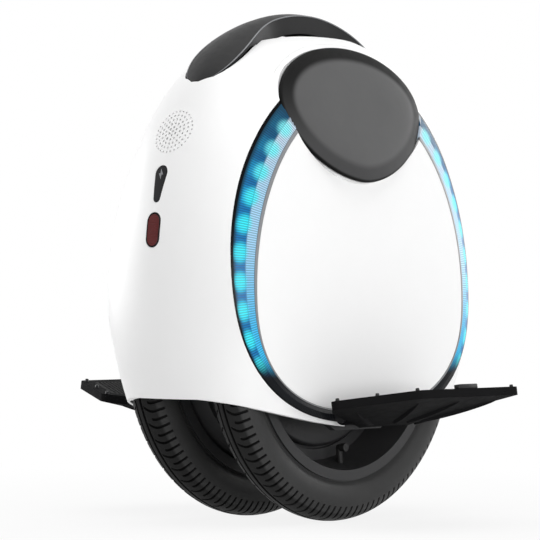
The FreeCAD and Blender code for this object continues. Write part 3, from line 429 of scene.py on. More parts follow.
FINISHES = (
    Finish(
        "white_shell", (0.86, 0.86, 0.86), 0.36, specular=0.4, shade=0.010, grain_size=0.0012,
        grain_depth=0.000006,
    ),
    Finish("dark_plastic", (0.017, 0.017, 0.0175), 0.48, specular=0.20, shade=0.10, edge=0.0007),
    Finish("gloss_black", (0.003, 0.0035, 0.0045), 0.20, specular=0.06, grain=Grain.SMOOTH),
    Finish("grey_bead", (0.22, 0.225, 0.235), 0.34, specular=0.3, grain=Grain.SMOOTH),
    Finish("circuit", (0.02, 0.11, 0.05), 0.45, shade=0.15),
    PadFinish("pad_foam", (0.096, 0.096, 0.097), 0.50, specular=0.08, grain=Grain.FOAM, grain_size=0.0005),
    TyreFinish(
        "tyre_rubber", (0.040, 0.040, 0.040), 0.50, specular=0.11, grain=Grain.RUBBER, grain_size=0.0009,
        shade=0.14,
    ),
    Finish("tube_rubber", (0.018, 0.018, 0.018), 0.5, specular=0.2, grain=Grain.RUBBER),
    Finish(
        "dark_alloy", (0.015, 0.015, 0.016), 0.44, specular=0.28, grain_size=0.0005, shade=0.10, edge=0.0006
    ),
    Finish("bare_alloy", (0.52, 0.53, 0.54), 0.34, metallic=1.0, grain=Grain.BRUSHED, shade=0.08),
    Finish("steel", (0.42, 0.42, 0.43), 0.32, metallic=1.0, grain=Grain.BRUSHED, shade=0.10, edge=0.0004),
    Finish("black_steel", (0.014, 0.014, 0.015), 0.40, specular=0.3, shade=0.12, edge=0.0003),
    Finish("copper", (0.55, 0.24, 0.10), 0.36, metallic=1.0, grain=Grain.BRUSHED, shade=0.15),
    Finish("battery_wrap", (0.03, 0.05, 0.13), 0.34, grain=Grain.SMOOTH, coat=0.2),
    Finish("red_lens", (0.105, 0.012, 0.012), 0.24, specular=0.18, grain=Grain.SMOOTH),
    Finish("clear_lens", (0.52, 0.55, 0.57), 0.22, grain=Grain.SMOOTH, coat=0.4),
    Finish(
        "grip_mat", (0.015, 0.015, 0.015), 0.85, specular=0.15, grain=Grain.RUBBER, grain_size=0.0011,
        grain_depth=0.0003,
    ),
)

RIM_FINISH = Finish("rim_alloy", (0.030, 0.030, 0.031), 0.42, specular=0.2, grain_size=0.0005, edge=0.0006)

# Finishes of CAD nodes that differ from their slot's, by the start of the node's name.
NODE_FINISHES = {
    "pedal_plate": Finish(
        "pedal_alloy", (0.0090, 0.0090, 0.0094), 0.60, specular=0.006, grain_size=0.0006, shade=0.16,
        edge=0.0012,
    ),
    "rim_left": RIM_FINISH,
    "rim_right": RIM_FINISH,
    "carry_handle": Finish(
        "handle_plastic", (0.012, 0.012, 0.0125), 0.46, specular=0.15, shade=0.12, edge=0.0008
    ),
    "charge_flap": Finish("flap_plastic", (0.014, 0.014, 0.015), 0.46, specular=0.08, edge=0.0005),
    "hinge_pin": Finish("pin_steel", (0.010, 0.010, 0.011), 0.40, specular=0.2, edge=0.0003),
}


class Wardrobe:
    """The finishes of all slots, each built once, and the pieces that wear them."""

    def __init__(self, finishes: tuple[Finish, ...]) -> None:
        """Build every finish, and the light band's glow."""
        self.materials = {finish.slot: finish.material() for finish in finishes}
        self.materials["light_guide"] = BandGlow().material()

    def dress_nodes(self) -> None:
        """Give each CAD node the finish of its slot, or its own."""
        own = {start: finish.material() for start, finish in NODE_FINISHES.items()}
        for subpart in frame["record"]["subparts"]:
            name = subpart["node"]
            special = [material for start, material in own.items() if name.startswith(start)]
            material = special[0] if special else self.materials[subpart["material_slot"]]
            frame["nodes"][name].material_slots[0].material = material

    def put_on(self, piece: bpy.types.Object, slot: str, body: str, *nodes: str) -> None:
        """Finish a piece: give it its slot's material, hang it on its body and hide the CAD nodes that it
        stands for.

        Args:
            piece: The piece, in place.
            slot: The record's slot.
            body: The body that carries it.
            nodes: CAD nodes that it replaces.
        """
        piece.data.materials.clear()
        piece.data.materials.append(self.materials[slot])
        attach(piece, body)
        if nodes:
            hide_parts(*nodes)
        log.info("%s: %d faces on %s", piece.name, len(piece.data.polygons), body)


def linked(name: str, mesh: bpy.types.Mesh) -> bpy.types.Object:
    """Make an object of a mesh and put it in the scene.

    Args:
        name: The object's name.
        mesh: Its mesh, in place.

    Returns:
        The object.
    """
    obj = bpy.data.objects.new(name, mesh)
    bpy.context.scene.collection.objects.link(obj)
    return obj


def tidy_mesh(mesh: bpy.types.Mesh, sharp_deg: float = 35.0, merge: float = MESH_MERGE) -> bpy.types.Mesh:
    """Merge doubles, point the faces outwards and shade them smooth up to an angle.

    Args:
        mesh: The mesh to tidy.
        sharp_deg: Edges that turn more than this stay sharp.
        merge: Points nearer than this become one.

    Returns:
        The same mesh.
    """
    work = bmesh.new()
    work.from_mesh(mesh)
    bmesh.ops.remove_doubles(work, verts=work.verts, dist=merge)
    bmesh.ops.recalc_face_normals(work, faces=work.faces)
    work.to_mesh(mesh)
    work.free()
    mesh.shade_smooth()
    mesh.set_sharp_from_angle(angle=math.radians(sharp_deg))
    return mesh


def solid_mesh(name: str, points: list[Spot], faces: list[tuple[int, ...]]) -> bpy.types.Mesh:
    """A tidy mesh from points and faces.

    Args:
        name: The mesh's name.
        points: Its corners.
        faces: Corner numbers of each face.

    Returns:
        The mesh.
    """
    mesh = bpy.data.meshes.new(name)
    mesh.from_pydata(points, [], faces)
    return tidy_mesh(mesh)


def grid_faces(rows: int, columns: int, start: int = 0, ring: bool = False) -> list[tuple[int, ...]]:
    """Faces between the rows of a grid of points, where each row is a closed ring.

    Args:
        rows: How many rows there are.
        columns: How many points each row has.
        start: The number of the grid's first point.
        ring: Whether the last row joins the first.

    Returns:
        The corners of each face.
    """
    faces = []
    for row in range(rows if ring else rows - 1):
        here = start + row * columns
        above = start + (row + 1) % rows * columns
        for column in range(columns):
            beside = (column + 1) % columns
            faces.append((here + column, here + beside, above + beside, above + column))
    return faces


class PatternTree:
    """A Geometry Nodes tree that sets copies of one shape on points, run once into a plain mesh."""

    def __init__(self, name: str) -> None:
        """Start a tree with a geometry input and output.

        Args:
            name: The name of the tree and of the piece that it makes.
        """
        self.name = name
        self.tree = bpy.data.node_groups.new(name, "GeometryNodeTree")
        face = self.tree.interface
        face.new_socket("Geometry", in_out="INPUT", socket_type="NodeSocketGeometry")
        face.new_socket("Geometry", in_out="OUTPUT", socket_type="NodeSocketGeometry")
        self.start = self.add("NodeGroupInput")
        self.end = self.add("NodeGroupOutput")
        self.values: dict[str, object] = {}

    def add(self, kind: str, **settings: object) -> bpy.types.Node:
        """Add a node and set its properties.

        Args:
            kind: The node's type.
            settings: Values of the node's properties.

        Returns:
            The node.
        """
        node = self.tree.nodes.new(kind)
        for name, value in settings.items():
            setattr(node, name, value)
        return node

    def join(self, source: Socket, target: Socket) -> None:
        """Link an output to an input."""
        self.tree.links.new(source, target)

    def named(self, name: str, kind: str, value: object) -> Socket:
        """Add a named input and keep its value for the run.

        Args:
            name: The input's name.
            kind: Its socket type, such as Float or Object.
            value: Its value.

        Returns:
            The input, as an output of the tree's start.
        """
        socket = self.tree.interface.new_socket(name, in_out="INPUT", socket_type="NodeSocket" + kind)
        self.values[socket.identifier] = value
        return self.start.outputs[name]

    def stored(self, name: str) -> Socket:
        """A vector stored on the points.

        Args:
            name: The attribute's name.

        Returns:
            The vector.
        """
        node = self.add("GeometryNodeInputNamedAttribute", data_type="FLOAT_VECTOR")
        node.inputs["Name"].default_value = name
        return node.outputs["Attribute"]

    def shape(self, obj: bpy.types.Object) -> Socket:
        """The geometry of the shape that is copied.

        Args:
            obj: The object that holds the shape.

        Returns:
            The geometry.
        """
        info = self.add("GeometryNodeObjectInfo")
        self.join(self.named("Shape", "Object", obj), info.inputs["Object"])
        return info.outputs["Geometry"]

    def finish(self, instances: Socket, material: bpy.types.Material, merge: float) -> None:
        """Realize the copies, merge their seams and give them a material.

        Args:
            instances: The copies.
            material: Their material.
            merge: Points nearer than this become one, in metres.
        """
        real = self.add("GeometryNodeRealizeInstances")
        self.join(instances, real.inputs[0])
        weld = self.add("GeometryNodeMergeByDistance")
        self.join(real.outputs[0], weld.inputs["Geometry"])
        self.join(self.named("Weld", "Float", merge), weld.inputs["Distance"])
        paint = self.add("GeometryNodeSetMaterial")
        self.join(weld.outputs[0], paint.inputs["Geometry"])
        self.join(self.named("Material", "Material", material), paint.inputs["Material"])
        self.join(paint.outputs[0], self.end.inputs[0])

    def run(self, points: bpy.types.Mesh) -> bpy.types.Object:
        """Run the tree on a mesh of points.

        Args:
            points: The points that carry the copies.

        Returns:
            A new object with the result as a plain mesh.
        """
        carrier = linked(self.name + "_points", points)
        modifier = carrier.modifiers.new("Pattern", "NODES")
        modifier.node_group = self.tree
        for identifier, value in self.values.items():
            modifier[identifier] = value
        seen = carrier.evaluated_get(bpy.context.evaluated_depsgraph_get())
        mesh = bpy.data.meshes.new_from_object(seen)
        bpy.data.objects.remove(carrier)
        return linked(self.name, mesh)


def point_mesh(name: str, points: np.ndarray, **stored: np.ndarray) -> bpy.types.Mesh:
    """A mesh of loose points with values stored on them.

    Args:
        name: The mesh's name.
        points: Places, one row each.
        stored: Numbers or vectors for each point.

    Returns:
        The mesh.
    """
    mesh = bpy.data.meshes.new(name)
    mesh.from_pydata([tuple(p) for p in points], [], [])
    for key, values in stored.items():
        vector = values.ndim == 2
        layer = mesh.attributes.new(key, "FLOAT_VECTOR" if vector else "FLOAT", "POINT")
        layer.data.foreach_set("vector" if vector else "value", values.astype(np.float32).ravel())
    return mesh


def copies_on_points(
    name: str, shape: bpy.types.Object, points: bpy.types.Mesh, material: bpy.types.Material
) -> bpy.types.Object:
    """Set copies of a shape on points that store their own axes and size.

    Args:
        name: The new piece's name.
        shape: The shape, along X with its top along Z. It is removed afterwards.
        points: Points that store top, side and size vectors.
        material: The material of the copies.

    Returns:
        The new piece.
    """
    tree = PatternTree(name)
    turn = tree.add("FunctionNodeAxesToRotation", primary_axis="Z", secondary_axis="X")
    tree.join(tree.stored("top"), turn.inputs[0])
    tree.join(tree.stored("side"), turn.inputs[1])
    place = tree.add("GeometryNodeInstanceOnPoints")
    tree.join(tree.start.outputs["Geometry"], place.inputs["Points"])
    tree.join(tree.shape(shape), place.inputs["Instance"])
    tree.join(turn.outputs[0], place.inputs["Rotation"])
    tree.join(tree.stored("size"), place.inputs["Scale"])
    tree.finish(place.outputs[0], material, COPY_MERGE)
    piece = tree.run(points)
    bpy.data.objects.remove(shape)
    return piece


@dataclass(frozen=True)
class SoftBox:
    """One large soft lamp of the studio."""

    name: str
    place: Spot
    width: float
    height: float
    power: float
    aim: Spot = (0.0, 0.0, 0.25)

    def build(self) -> None:
        """Hang the lamp and aim it."""
        lamp = bpy.data.lights.new(self.name, "AREA")
        lamp.shape = "RECTANGLE"
        lamp.size = self.width
        lamp.size_y = self.height
        lamp.energy = self.power
        obj = bpy.data.objects.new(self.name, lamp)
        obj.location = self.place
        way = Vector(self.aim) - Vector(self.place)
        obj.rotation_euler = way.to_track_quat("-Z", "Y").to_euler()
        obj.visible_camera = False
        bpy.context.scene.collection.objects.link(obj)


LAMPS = (
    SoftBox("side_box", (-1.1, -3.3, 0.46), width=3.2, height=0.86, power=66.0),
    SoftBox("far_box", (-0.7, 2.9, 0.70), width=2.4, height=1.3, power=46.0),
    SoftBox("top_box", (-0.4, -0.3, 2.8), width=2.6, height=2.6, power=48.0),
    SoftBox("front_box", (2.8, -0.4, 0.8), width=2.0, height=1.4, power=28.0),
)


@dataclass
class Studio:
    """The pale floor, the soft light and the camera."""

    camera_place: Spot = (-2.2480, -1.9891, 0.2274)
    camera_azimuth_deg: float = -48.06
    camera_elevation_deg: float = -0.39
    focal_length: float = 200.05
    sensor_width: float = 36.0
    floor_radius: float = 9.0
    floor_segments: int = 96
    floor_colour: Colour = (0.82, 0.82, 0.82)
    floor_roughness: float = 0.9
    shadow_near: float = 0.25
    shadow_far: float = 0.95
    shadow_share: float = 0.14
    ambient: float = 0.30

    def build(self) -> None:
        """Set up the whole studio."""
        scene = bpy.context.scene
        scene.view_settings.view_transform = "Standard"
        self.build_camera(scene)
        self.build_world(scene)
        self.build_floor()
        for lamp in LAMPS:
            lamp.build()

    def build_camera(self, scene: bpy.types.Scene) -> None:
        """Place the camera at the photograph's angle.

        Args:
            scene: The scene that it looks at.
        """
        camera = bpy.data.cameras.new("camera")
        camera.lens = self.focal_length
        camera.sensor_width = self.sensor_width
        obj = bpy.data.objects.new("camera", camera)
        azimuth = math.radians(self.camera_azimuth_deg)
        elevation = math.radians(self.camera_elevation_deg)
        turn = Matrix.Rotation(azimuth, 4, "Z") @ Matrix.Rotation(math.pi / 2 - elevation, 4, "X")
        obj.matrix_world = Matrix.Translation(self.camera_place) @ turn
        scene.collection.objects.link(obj)
        scene.camera = obj

    def seen_rays(self, tree: bpy.types.NodeTree) -> Socket:
        """Tell the rays that see a surface from those that only light others.

        Args:
            tree: The nodes of the world or of a material.

        Returns:
            One for camera, glossy and transmission rays, and nought for the rest.
        """
        path = tree.nodes.new("ShaderNodeLightPath")
        total = path.outputs["Is Camera Ray"]
        for name in ("Is Glossy Ray", "Is Transmission Ray"):
            node = tree.nodes.new("ShaderNodeMath")
            node.operation = "MAXIMUM"
            tree.links.new(total, node.inputs[0])
            tree.links.new(path.outputs[name], node.inputs[1])
            total = node.outputs[0]
        return total

    def build_world(self, scene: bpy.types.Scene) -> None:
        """Make the world white where it is seen and softer where it lights.

        Args:
            scene: The scene that it surrounds.
        """
        world = bpy.data.worlds.new("studio")
        world.use_nodes = True
        scene.world = world
        tree = world.node_tree
        strength = tree.nodes.new("ShaderNodeMapRange")
        tree.links.new(self.seen_rays(tree), strength.inputs[0])
        strength.inputs[3].default_value = self.ambient
        strength.inputs[4].default_value = 1.0
        background = tree.nodes["Background"]
        background.inputs[0].default_value = (1.0, 1.0, 1.0, 1.0)
        tree.links.new(strength.outputs[0], background.inputs[1])

    def build_floor(self) -> None:
        """Make a round pale floor that keeps a faint shadow near the wheel."""
        work = bmesh.new()
        bmesh.ops.create_circle(work, cap_ends=True, segments=self.floor_segments, radius=self.floor_radius)
        mesh = bpy.data.meshes.new("floor")
        work.to_mesh(mesh)
        work.free()
        floor = linked("floor", mesh)
        graph = ShaderGraph("floor_finish")
        graph.set("Base Color", self.floor_colour)
        graph.set("Roughness", self.floor_roughness)
        graph.set("Specular IOR Level", 0.0)
        white = graph.add("ShaderNodeEmission")
        length = graph.add("ShaderNodeVectorMath", operation="LENGTH")
        graph.feed(length.inputs[0], graph.coords())
        near = 1.0 - self.shadow_share
        plain = graph.spread(length.outputs["Value"], self.shadow_near, self.shadow_far, near, 1.0)
        mix = graph.add("ShaderNodeMixShader")
        graph.feed(mix.inputs[0], graph.calc("MULTIPLY", plain, self.seen_rays(graph.tree)))
        graph.feed(mix.inputs[1], graph.shader.outputs[0])
        graph.feed(mix.inputs[2], white.outputs[0])
        graph.feed(graph.output.inputs["Surface"], mix.outputs[0])
        mesh.materials.append(graph.material)


@dataclass
class SideForm:
    """The curves of one side of the shell: the light band's two edges and the leg pad's outline."""

    shell_centre_z: float = 0.247
    band_half_length: float = 0.179
    band_top_rise: float = 0.200
    band_low_drop: float = 0.1485
    band_half_width: float = 0.0754
    flare_start_z: float = 0.350
    flare_rate: float = 0.17168
    flare_power: float = 1.524
    panel_centre_z: float = 0.225
    panel_half_length: float = 0.155
    panel_top_rise: float = 0.191
    panel_low_drop: float = 0.115
    panel_offset: float = 0.0885
    panel_level_z: float = 0.371
    panel_lean: float = 0.0255
    low_power: float = 2.5
    band_bulge: float = 0.002
    pad_top_z: float = 0.466
    pad_low_z: float = 0.332
    pad_mid_z: float = 0.407
    pad_top_y: float = 0.057
    pad_low_y: float = 0.094
    pad_half_length: float = 0.104
    pad_power: float = 1.75

    @staticmethod
    def oval(angle: np.ndarray, half_x: float, rise: float, drop: float, power: float) -> np.ndarray:
        """Distances from an oval's centre to its edge.

        Args:
            angle: Angles from +X.
            half_x: Half its length.
            rise: Its height above the centre.
            drop: Its depth below the centre.
            power: The roundness of the lower half.

        Returns:
            One distance for each angle.
        """
        c = np.abs(np.cos(angle))
        s = np.abs(np.sin(angle))
        upper = 1.0 / np.hypot(c / half_x, s / rise)
        lower = ((c / half_x) ** power + (s / drop) ** power) ** (-1.0 / power)
        return np.where(np.sin(angle) >= 0, upper, lower)

    def band_edge(self, angle: np.ndarray) -> np.ndarray:
        """Points on the outer edge of the left light band.

        Args:
            angle: Angles round the band from +X.

        Returns:
            One place for each angle.
        """
        r = self.oval(angle, self.band_half_length, self.band_top_rise, self.band_low_drop, self.low_power)
        z = self.shell_centre_z + r * np.sin(angle)
        below = np.maximum(0.0, self.flare_start_z - z)
        y = self.band_half_width + self.flare_rate * below**self.flare_power
        return np.stack([r * np.cos(angle), y, z], axis=-1)

    def panel_edge(self, angle: np.ndarray) -> np.ndarray:
        """Points on the edge of the left side panel.

        Args:
            angle: Angles round the panel from +X.

        Returns:
            One place for each angle.
        """
        r = self.oval(angle, self.panel_half_length, self.panel_top_rise, self.panel_low_drop, self.low_power)
        z = self.panel_centre_z + r * np.sin(angle)
        y = self.panel_offset + self.panel_lean * (self.panel_level_z - z)
        return np.stack([r * np.cos(angle), y, z], axis=-1)

    def band_point(self, angle: np.ndarray, share: np.ndarray) -> np.ndarray:
        """Points on the face of the left band.

        Args:
            angle: Angles round the band from +X.
            share: Shares of the band's width, from its outer edge (0) to the panel (1).

        Returns:
            One place for each angle and share.
        """
        outer = self.band_edge(angle)
        point = outer + (self.panel_edge(angle) - outer) * share[..., None]
        point[..., 1] += self.band_bulge * np.maximum(0.0, 1.0 - np.abs(2.0 * share - 1.0))
        return point

    @property
    def pad_slope(self) -> float:
        """How far the pad leans outwards for each metre down."""
        return (self.pad_low_y - self.pad_top_y) / (self.pad_top_z - self.pad_low_z)

    def pad_axes(self) -> tuple[Vector, Vector, Vector]:
        """The place and the turn of the left pad.

        Returns:
            Its middle on its seat, its way up and its way out.
        """
        up = Vector((0.0, -self.pad_slope, 1.0)).normalized()
        out = Vector((0.0, 1.0, self.pad_slope)).normalized()
        middle_y = self.pad_top_y + self.pad_slope * (self.pad_top_z - self.pad_mid_z)
        return Vector((0.0, middle_y, self.pad_mid_z)), up, out

    def pad_inset(self, points: np.ndarray) -> np.ndarray:
        """How far points lie inside the left pad's outline.

        Args:
            points: Places on the left side.

        Returns:
            Distances inside the outline.
        """
        middle, up = (np.array(v) for v in self.pad_axes()[:2])
        apart = points - middle
        along = apart[..., 0]
        rise = apart @ up
        angle = np.arctan2(rise, along)
        high = (self.pad_top_z - self.pad_mid_z) / up[2]
        low = (self.pad_mid_z - self.pad_low_z) / up[2]
        edge = self.oval(angle, self.pad_half_length, high, low, self.pad_power)
        return edge - np.hypot(along, rise)


@dataclass
class LightBand:
    """The ribbed light guide round one side panel."""

    form: SideForm
    side: Side
    start_share: float = 0.10
    end_share: float = 0.88
    rows: int = 27
    steps: int = 900
    thickness: float = 0.003
    pad_cover: float = 0.001
    notch_half: float = 0.033
    notch_top_z: float = 0.117
    rib_pitch: float = 0.0023
    rib_height: float = 0.0004
    rib_width: float = 0.0013
    rib_top: float = 0.25
    rib_sink: float = 0.5
    rib_look: float = 0.01
    # Where the ribs of the outer and the inner face start and end across the band, and their rise.
    rib_faces: tuple[Spot, ...] = ((0.115, 0.485, 1.0), (0.515, 0.865, 0.6))
    lamp_pitch: float = 0.027
    sharp_deg: float = 20.0

    def shares(self) -> np.ndarray:
        """Shares of the band's width where the guide's face has a line of points."""
        return np.linspace(self.start_share, self.end_share, self.rows)

    def hidden(self, points: np.ndarray) -> np.ndarray:
        """Whether points of the left band are under the pad or in the pedal bracket's notch.

        Args:
            points: Places on the left side.

        Returns:
            True for each point that is hidden.
        """
        inset = self.form.pad_inset(points)
        notch = (np.abs(points[..., 0]) < self.notch_half) & (points[..., 2] < self.notch_top_z)
        return (inset > self.pad_cover) | notch

    def to_side(self, points: np.ndarray) -> np.ndarray:
        """The same places on this side."""
        return points * np.array([1.0, self.side.value, 1.0])

    def angles(self) -> np.ndarray:
        """Angles round the band, from its foot and back to it."""
        return np.linspace(-0.5 * math.pi, 1.5 * math.pi, self.steps + 1)

    def middle_line(self) -> tuple[np.ndarray, np.ndarray]:
        """The line along the band's middle.

        Returns:
            Its points and the length run to each.
        """
        angle = self.angles()
        middle = self.form.band_point(angle, np.full_like(angle, 0.5))
        step = np.linalg.norm(np.diff(middle, axis=0), axis=1)
        return middle, np.concatenate([[0.0], np.cumsum(step)])

    def run_at(self, share: float) -> np.ndarray:
        """The length run along the middle to the place nearest to each point of a line along the band.

        Args:
            share: The line's share of the band's width.

        Returns:
            One length for each angle.
        """
        middle, run = self.middle_line()
        angle = self.angles()
        points = self.form.band_point(angle, np.full_like(angle, share))
        nearest = np.argmin(((points[:, None] - middle[None]) ** 2).sum(axis=2), axis=1)
        ahead = np.gradient(middle, axis=0)
        ahead /= np.linalg.norm(ahead, axis=1, keepdims=True)
        places = run[nearest] + ((points - middle[nearest]) * ahead[nearest]).sum(axis=1)
        places[-1] = places[0] + run[-1]
        return places

    def lamp_step(self) -> float:
        """The lamps' spacing, with a whole number of them round the band."""
        length = self.middle_line()[1][-1]
        return length / round(length / self.lamp_pitch)

    def build(self, wardrobe: Wardrobe) -> None:
        """Make the guide and its ribs.

        Args:
            wardrobe: The finishes.
        """
        word = self.side.word
        guide = linked("lit_guide_" + word, self.guide_mesh())
        wardrobe.put_on(guide, "light_guide", MAIN_BODY, "light_guide_" + word)
        ribs = self.ribs(wardrobe.materials["light_guide"])
        wardrobe.put_on(ribs, "light_guide", MAIN_BODY)

    def guide_mesh(self) -> bpy.types.Mesh:
        """The guide's roof-shaped strip as a closed solid.

        Returns:
            The mesh.
        """
        angle = self.angles()
        shares = self.shares()
        grid = self.form.band_point(angle[:-1, None] + 0 * shares, shares[None, :] + 0 * angle[:-1, None])
        lamps = np.stack([self.run_at(share) for share in shares], axis=1) / self.lamp_step()
        columns, rows = grid.shape[:2]
        work = bmesh.new()
        along = work.verts.layers.float.new("along")
        across = work.verts.layers.float.new("across")
        corner = {}

        def vert(i: int, j: int, depth: float) -> bmesh.types.BMVert:
            """One shared corner of the strip.

            Args:
                i: Its step round the band.
                j: Its line across the band.
                depth: How far it lies under the face.

            Returns:
                The corner.
            """
            key = (i % columns, j, depth)
            if key not in corner:
                place = grid[key[0], j] - np.array([0.0, depth, 0.0])
                corner[key] = work.verts.new(self.to_side(place))
                corner[key][along] = lamps[key[0], j]
                corner[key][across] = shares[j]
            return corner[key]

        pairs = grid + np.roll(grid, -1, axis=0)
        shown = ~self.hidden((pairs[:, :-1] + pairs[:, 1:]) / 4.0)
        for i in range(columns):
            for j in range(rows - 1):
                if not shown[i, j]:
                    continue
                ring = [(i, j), (i + 1, j), (i + 1, j + 1), (i, j + 1)]
                work.faces.new([vert(a, b, 0.0) for a, b in ring])
                work.faces.new([vert(a, b, self.thickness) for a, b in reversed(ring)])
                beside = ((i - 1, j), (i, j - 1), (i + 1, j), (i, j + 1))
                sides = ((ring[3], ring[0]), (ring[0], ring[1]), (ring[1], ring[2]), (ring[2], ring[3]))
                for (a, b), (first, second) in zip(beside, sides):
                    if not 0 <= b < rows - 1 or not shown[a % columns, b]:
                        wall = [vert(*first, 0.0), vert(*first, self.thickness)]
                        work.faces.new(wall + [vert(*second, self.thickness), vert(*second, 0.0)])
        bmesh.ops.recalc_face_normals(work, faces=work.faces)
        mesh = bpy.data.meshes.new("lit_guide_" + self.side.word)
        work.to_mesh(mesh)
        work.free()
        mesh.shade_smooth()
        mesh.set_sharp_from_angle(angle=math.radians(self.sharp_deg))
        return mesh

    def rib_shape(self) -> bpy.types.Object:
        """One rib of unit length along X: a low ridge.

        Returns:
            An object that holds its shape.
        """
        half = self.rib_width / 2
        top = self.rib_top * half
        high = self.rib_height
        low = -self.rib_sink * high
        points = []
        for x in (-0.5, 0.5):
            points += [(x, -half, low), (x, half, low), (x, top, high), (x, -top, high)]
        faces = [(0, 1, 2, 3), (7, 6, 5, 4), (0, 4, 5, 1), (1, 5, 6, 2), (2, 6, 7, 3), (3, 7, 4, 0)]
        mesh = solid_mesh("rib_shape", points, faces)
        reach = mesh.attributes.new("reach", "FLOAT", "POINT")
        reach.data.foreach_set("value", [v.co.x for v in mesh.vertices])
        return linked("rib_shape", mesh)

    def ribs(self, material: bpy.types.Material) -> bpy.types.Object:
        """Ribs across both faces of the guide.

        Args:
            material: Their finish.

        Returns:
            The piece.
        """
        angle = self.angles()
        length = self.middle_line()[1][-1]
        count = int(length / self.rib_pitch)
        runs = (np.arange(count) + 0.5) * length / count
        parts = []
        for low, high, rise in self.rib_faces:
            start_angle = np.interp(runs, self.run_at(low), angle)
            end_angle = np.interp(runs, self.run_at(high), angle)
            start = self.form.band_point(start_angle, np.full(count, low))
            end = self.form.band_point(end_angle, np.full(count, high))
            centre = (start_angle + end_angle) / 2
            ahead = self.form.band_point(centre + self.rib_look, np.full(count, (low + high) / 2))
            behind = self.form.band_point(centre - self.rib_look, np.full(count, (low + high) / 2))
            middle = (start + end) / 2
            side = end - start
            top = np.cross(side, ahead - behind)
            top *= np.sign(top[:, 1:2])
            size = np.stack([np.linalg.norm(side, axis=1), np.ones(count), np.full(count, rise)], axis=1)
            keep = ~(self.hidden(start) | self.hidden(end))
            along = runs / self.lamp_step()
            across = np.full(count, (low + high) / 2)
            span = np.full(count, high - low)
            parts.append([a[keep] for a in (middle, top, side, size, along, across, span)])
        middle, top, side, size, along, across, span = (np.concatenate(column) for column in zip(*parts))
        stored = {"top": self.to_side(top), "side": self.to_side(side), "size": size}
        # Marks the ribs, which the glow's finish brightens as a painted highlight.
        stored["ridge"] = np.ones(len(along))
        stored["span"] = span
        points = point_mesh("rib_points", self.to_side(middle), along=along, across=across, **stored)
        return copies_on_points("guide_ribs_" + self.side.word, self.rib_shape(), points, material)


@dataclass(frozen=True)
class BandGlow:
    """The light band's finish: lamps behind a ribbed blue guide, dark towards its foot."""

    spot: Colour = (0.05, 0.83, 0.92)
    pale_spot: Colour = (0.26, 0.88, 0.92)
    blue: Colour = (0.006, 0.33, 0.66)
    deep: Colour = (0.003, 0.15, 0.40)
    edge: Colour = (0.003, 0.040, 0.080)
    pale: Colour = (0.36, 0.60, 0.80)
    icy: Colour = (0.56, 0.64, 0.74)
    low_blue: Colour = (0.040, 0.45, 0.78)
    unlit_base: Colour = (0.004, 0.005, 0.007)
    lit_base: Colour = (0.006, 0.020, 0.032)
    roughness: float = 0.20
    specular: float = 0.14
    lit_z: Span = (0.143, 0.168)
    centre_z: Span = (0.25, 0.38)
    centre_share: Span = (0.32, 0.60)
    upper_z: Span = (0.30, 0.41)
    upper_shade: float = 0.9
    inner_z: Span = (0.17, 0.29)
    edge_share: Span = (0.10, 0.22)
    crease_share: Span = (0.47, 0.55)
    wave_range: Span = (-1.0, 0.6)
    # Painted highlight and shade: the ribs glow brighter and the guide between them dimmer, as light on their
    # relief.
    ridge_painted_light: Span = (0.68, 1.26)
    strength: float = 0.95
    spot_half_width: float = 0.36
    spot_half_length: float = 0.52
    spot_share: float = 0.92

    def material(self) -> bpy.types.Material:
        """Build the finish from the lamps' places along and across the band.

        Returns:
            The material.
        """
        graph = ShaderGraph("light_guide_glow")
        reach = graph.calc("MULTIPLY", graph.attribute("reach"), graph.attribute("span"))
        across = graph.calc("ADD", graph.attribute("across"), reach)
        along = graph.attribute("along")
        height = graph.axis("Z")
        upper = graph.spread(height, *self.upper_z)
        lit = graph.spread(height, *self.lit_z)
        wave = graph.calc("COSINE", graph.calc("MULTIPLY", along, 2.0 * math.pi))
        outer = graph.blend(graph.spread(wave, *self.wave_range), self.deep, self.blue)
        outer = graph.blend(graph.spread(across, *self.edge_share), self.edge, outer)
        outer = graph.blend(graph.calc("MULTIPLY", upper, self.upper_shade), outer, self.edge)
        inner = graph.blend(graph.spread(height, *self.inner_z), self.low_blue, self.pale)
        inner = graph.blend(upper, inner, self.icy)
        glow = graph.blend(graph.spread(across, *self.crease_share), outer, inner)
        lamp = graph.blend(upper, self.spot, self.pale_spot)
        glow = graph.blend(self.lamp_share(graph, along, across, height), glow, lamp)
        # Painted highlight on the ribs and painted shade on the guide between them.
        dim, bright = (share * self.strength for share in self.ridge_painted_light)
        ridge = graph.spread(graph.attribute("ridge"), 0.0, 1.0, dim, bright)
        graph.set("Base Color", graph.blend(lit, self.unlit_base, self.lit_base))
        graph.set("Roughness", self.roughness)
        graph.set("Specular IOR Level", self.specular)
        graph.set("Emission Color", glow)
        graph.set("Emission Strength", graph.calc("MULTIPLY", lit, ridge))
        return graph.material

    def lamp_share(self, graph: ShaderGraph, along: Socket, across: Socket, height: Socket) -> Socket:
        """How much of a lamp's round spot shows at a place.

        Args:
            graph: The nodes of the finish.
            along: The place along the band, in lamps.
            across: The share of the band's width.
            height: The place's height.

        Returns:
            One share, most at the middle of a lamp.
        """
        centre = graph.spread(height, *self.centre_z, *self.centre_share)
        aside = graph.calc("DIVIDE", graph.calc("SUBTRACT", across, centre), self.spot_half_width)
        ahead = graph.calc("SUBTRACT", graph.calc("FRACT", graph.calc("ADD", along, 0.5)), 0.5)
        ahead = graph.calc("DIVIDE", ahead, self.spot_half_length)
        apart = graph.calc("ADD", graph.calc("MULTIPLY", aside, aside), graph.calc("MULTIPLY", ahead, ahead))
        near = graph.spread(apart, 0.0, 1.0, 1.0, 0.0)
        return graph.calc("MULTIPLY", near, graph.calc("MULTIPLY", near, self.spot_share))


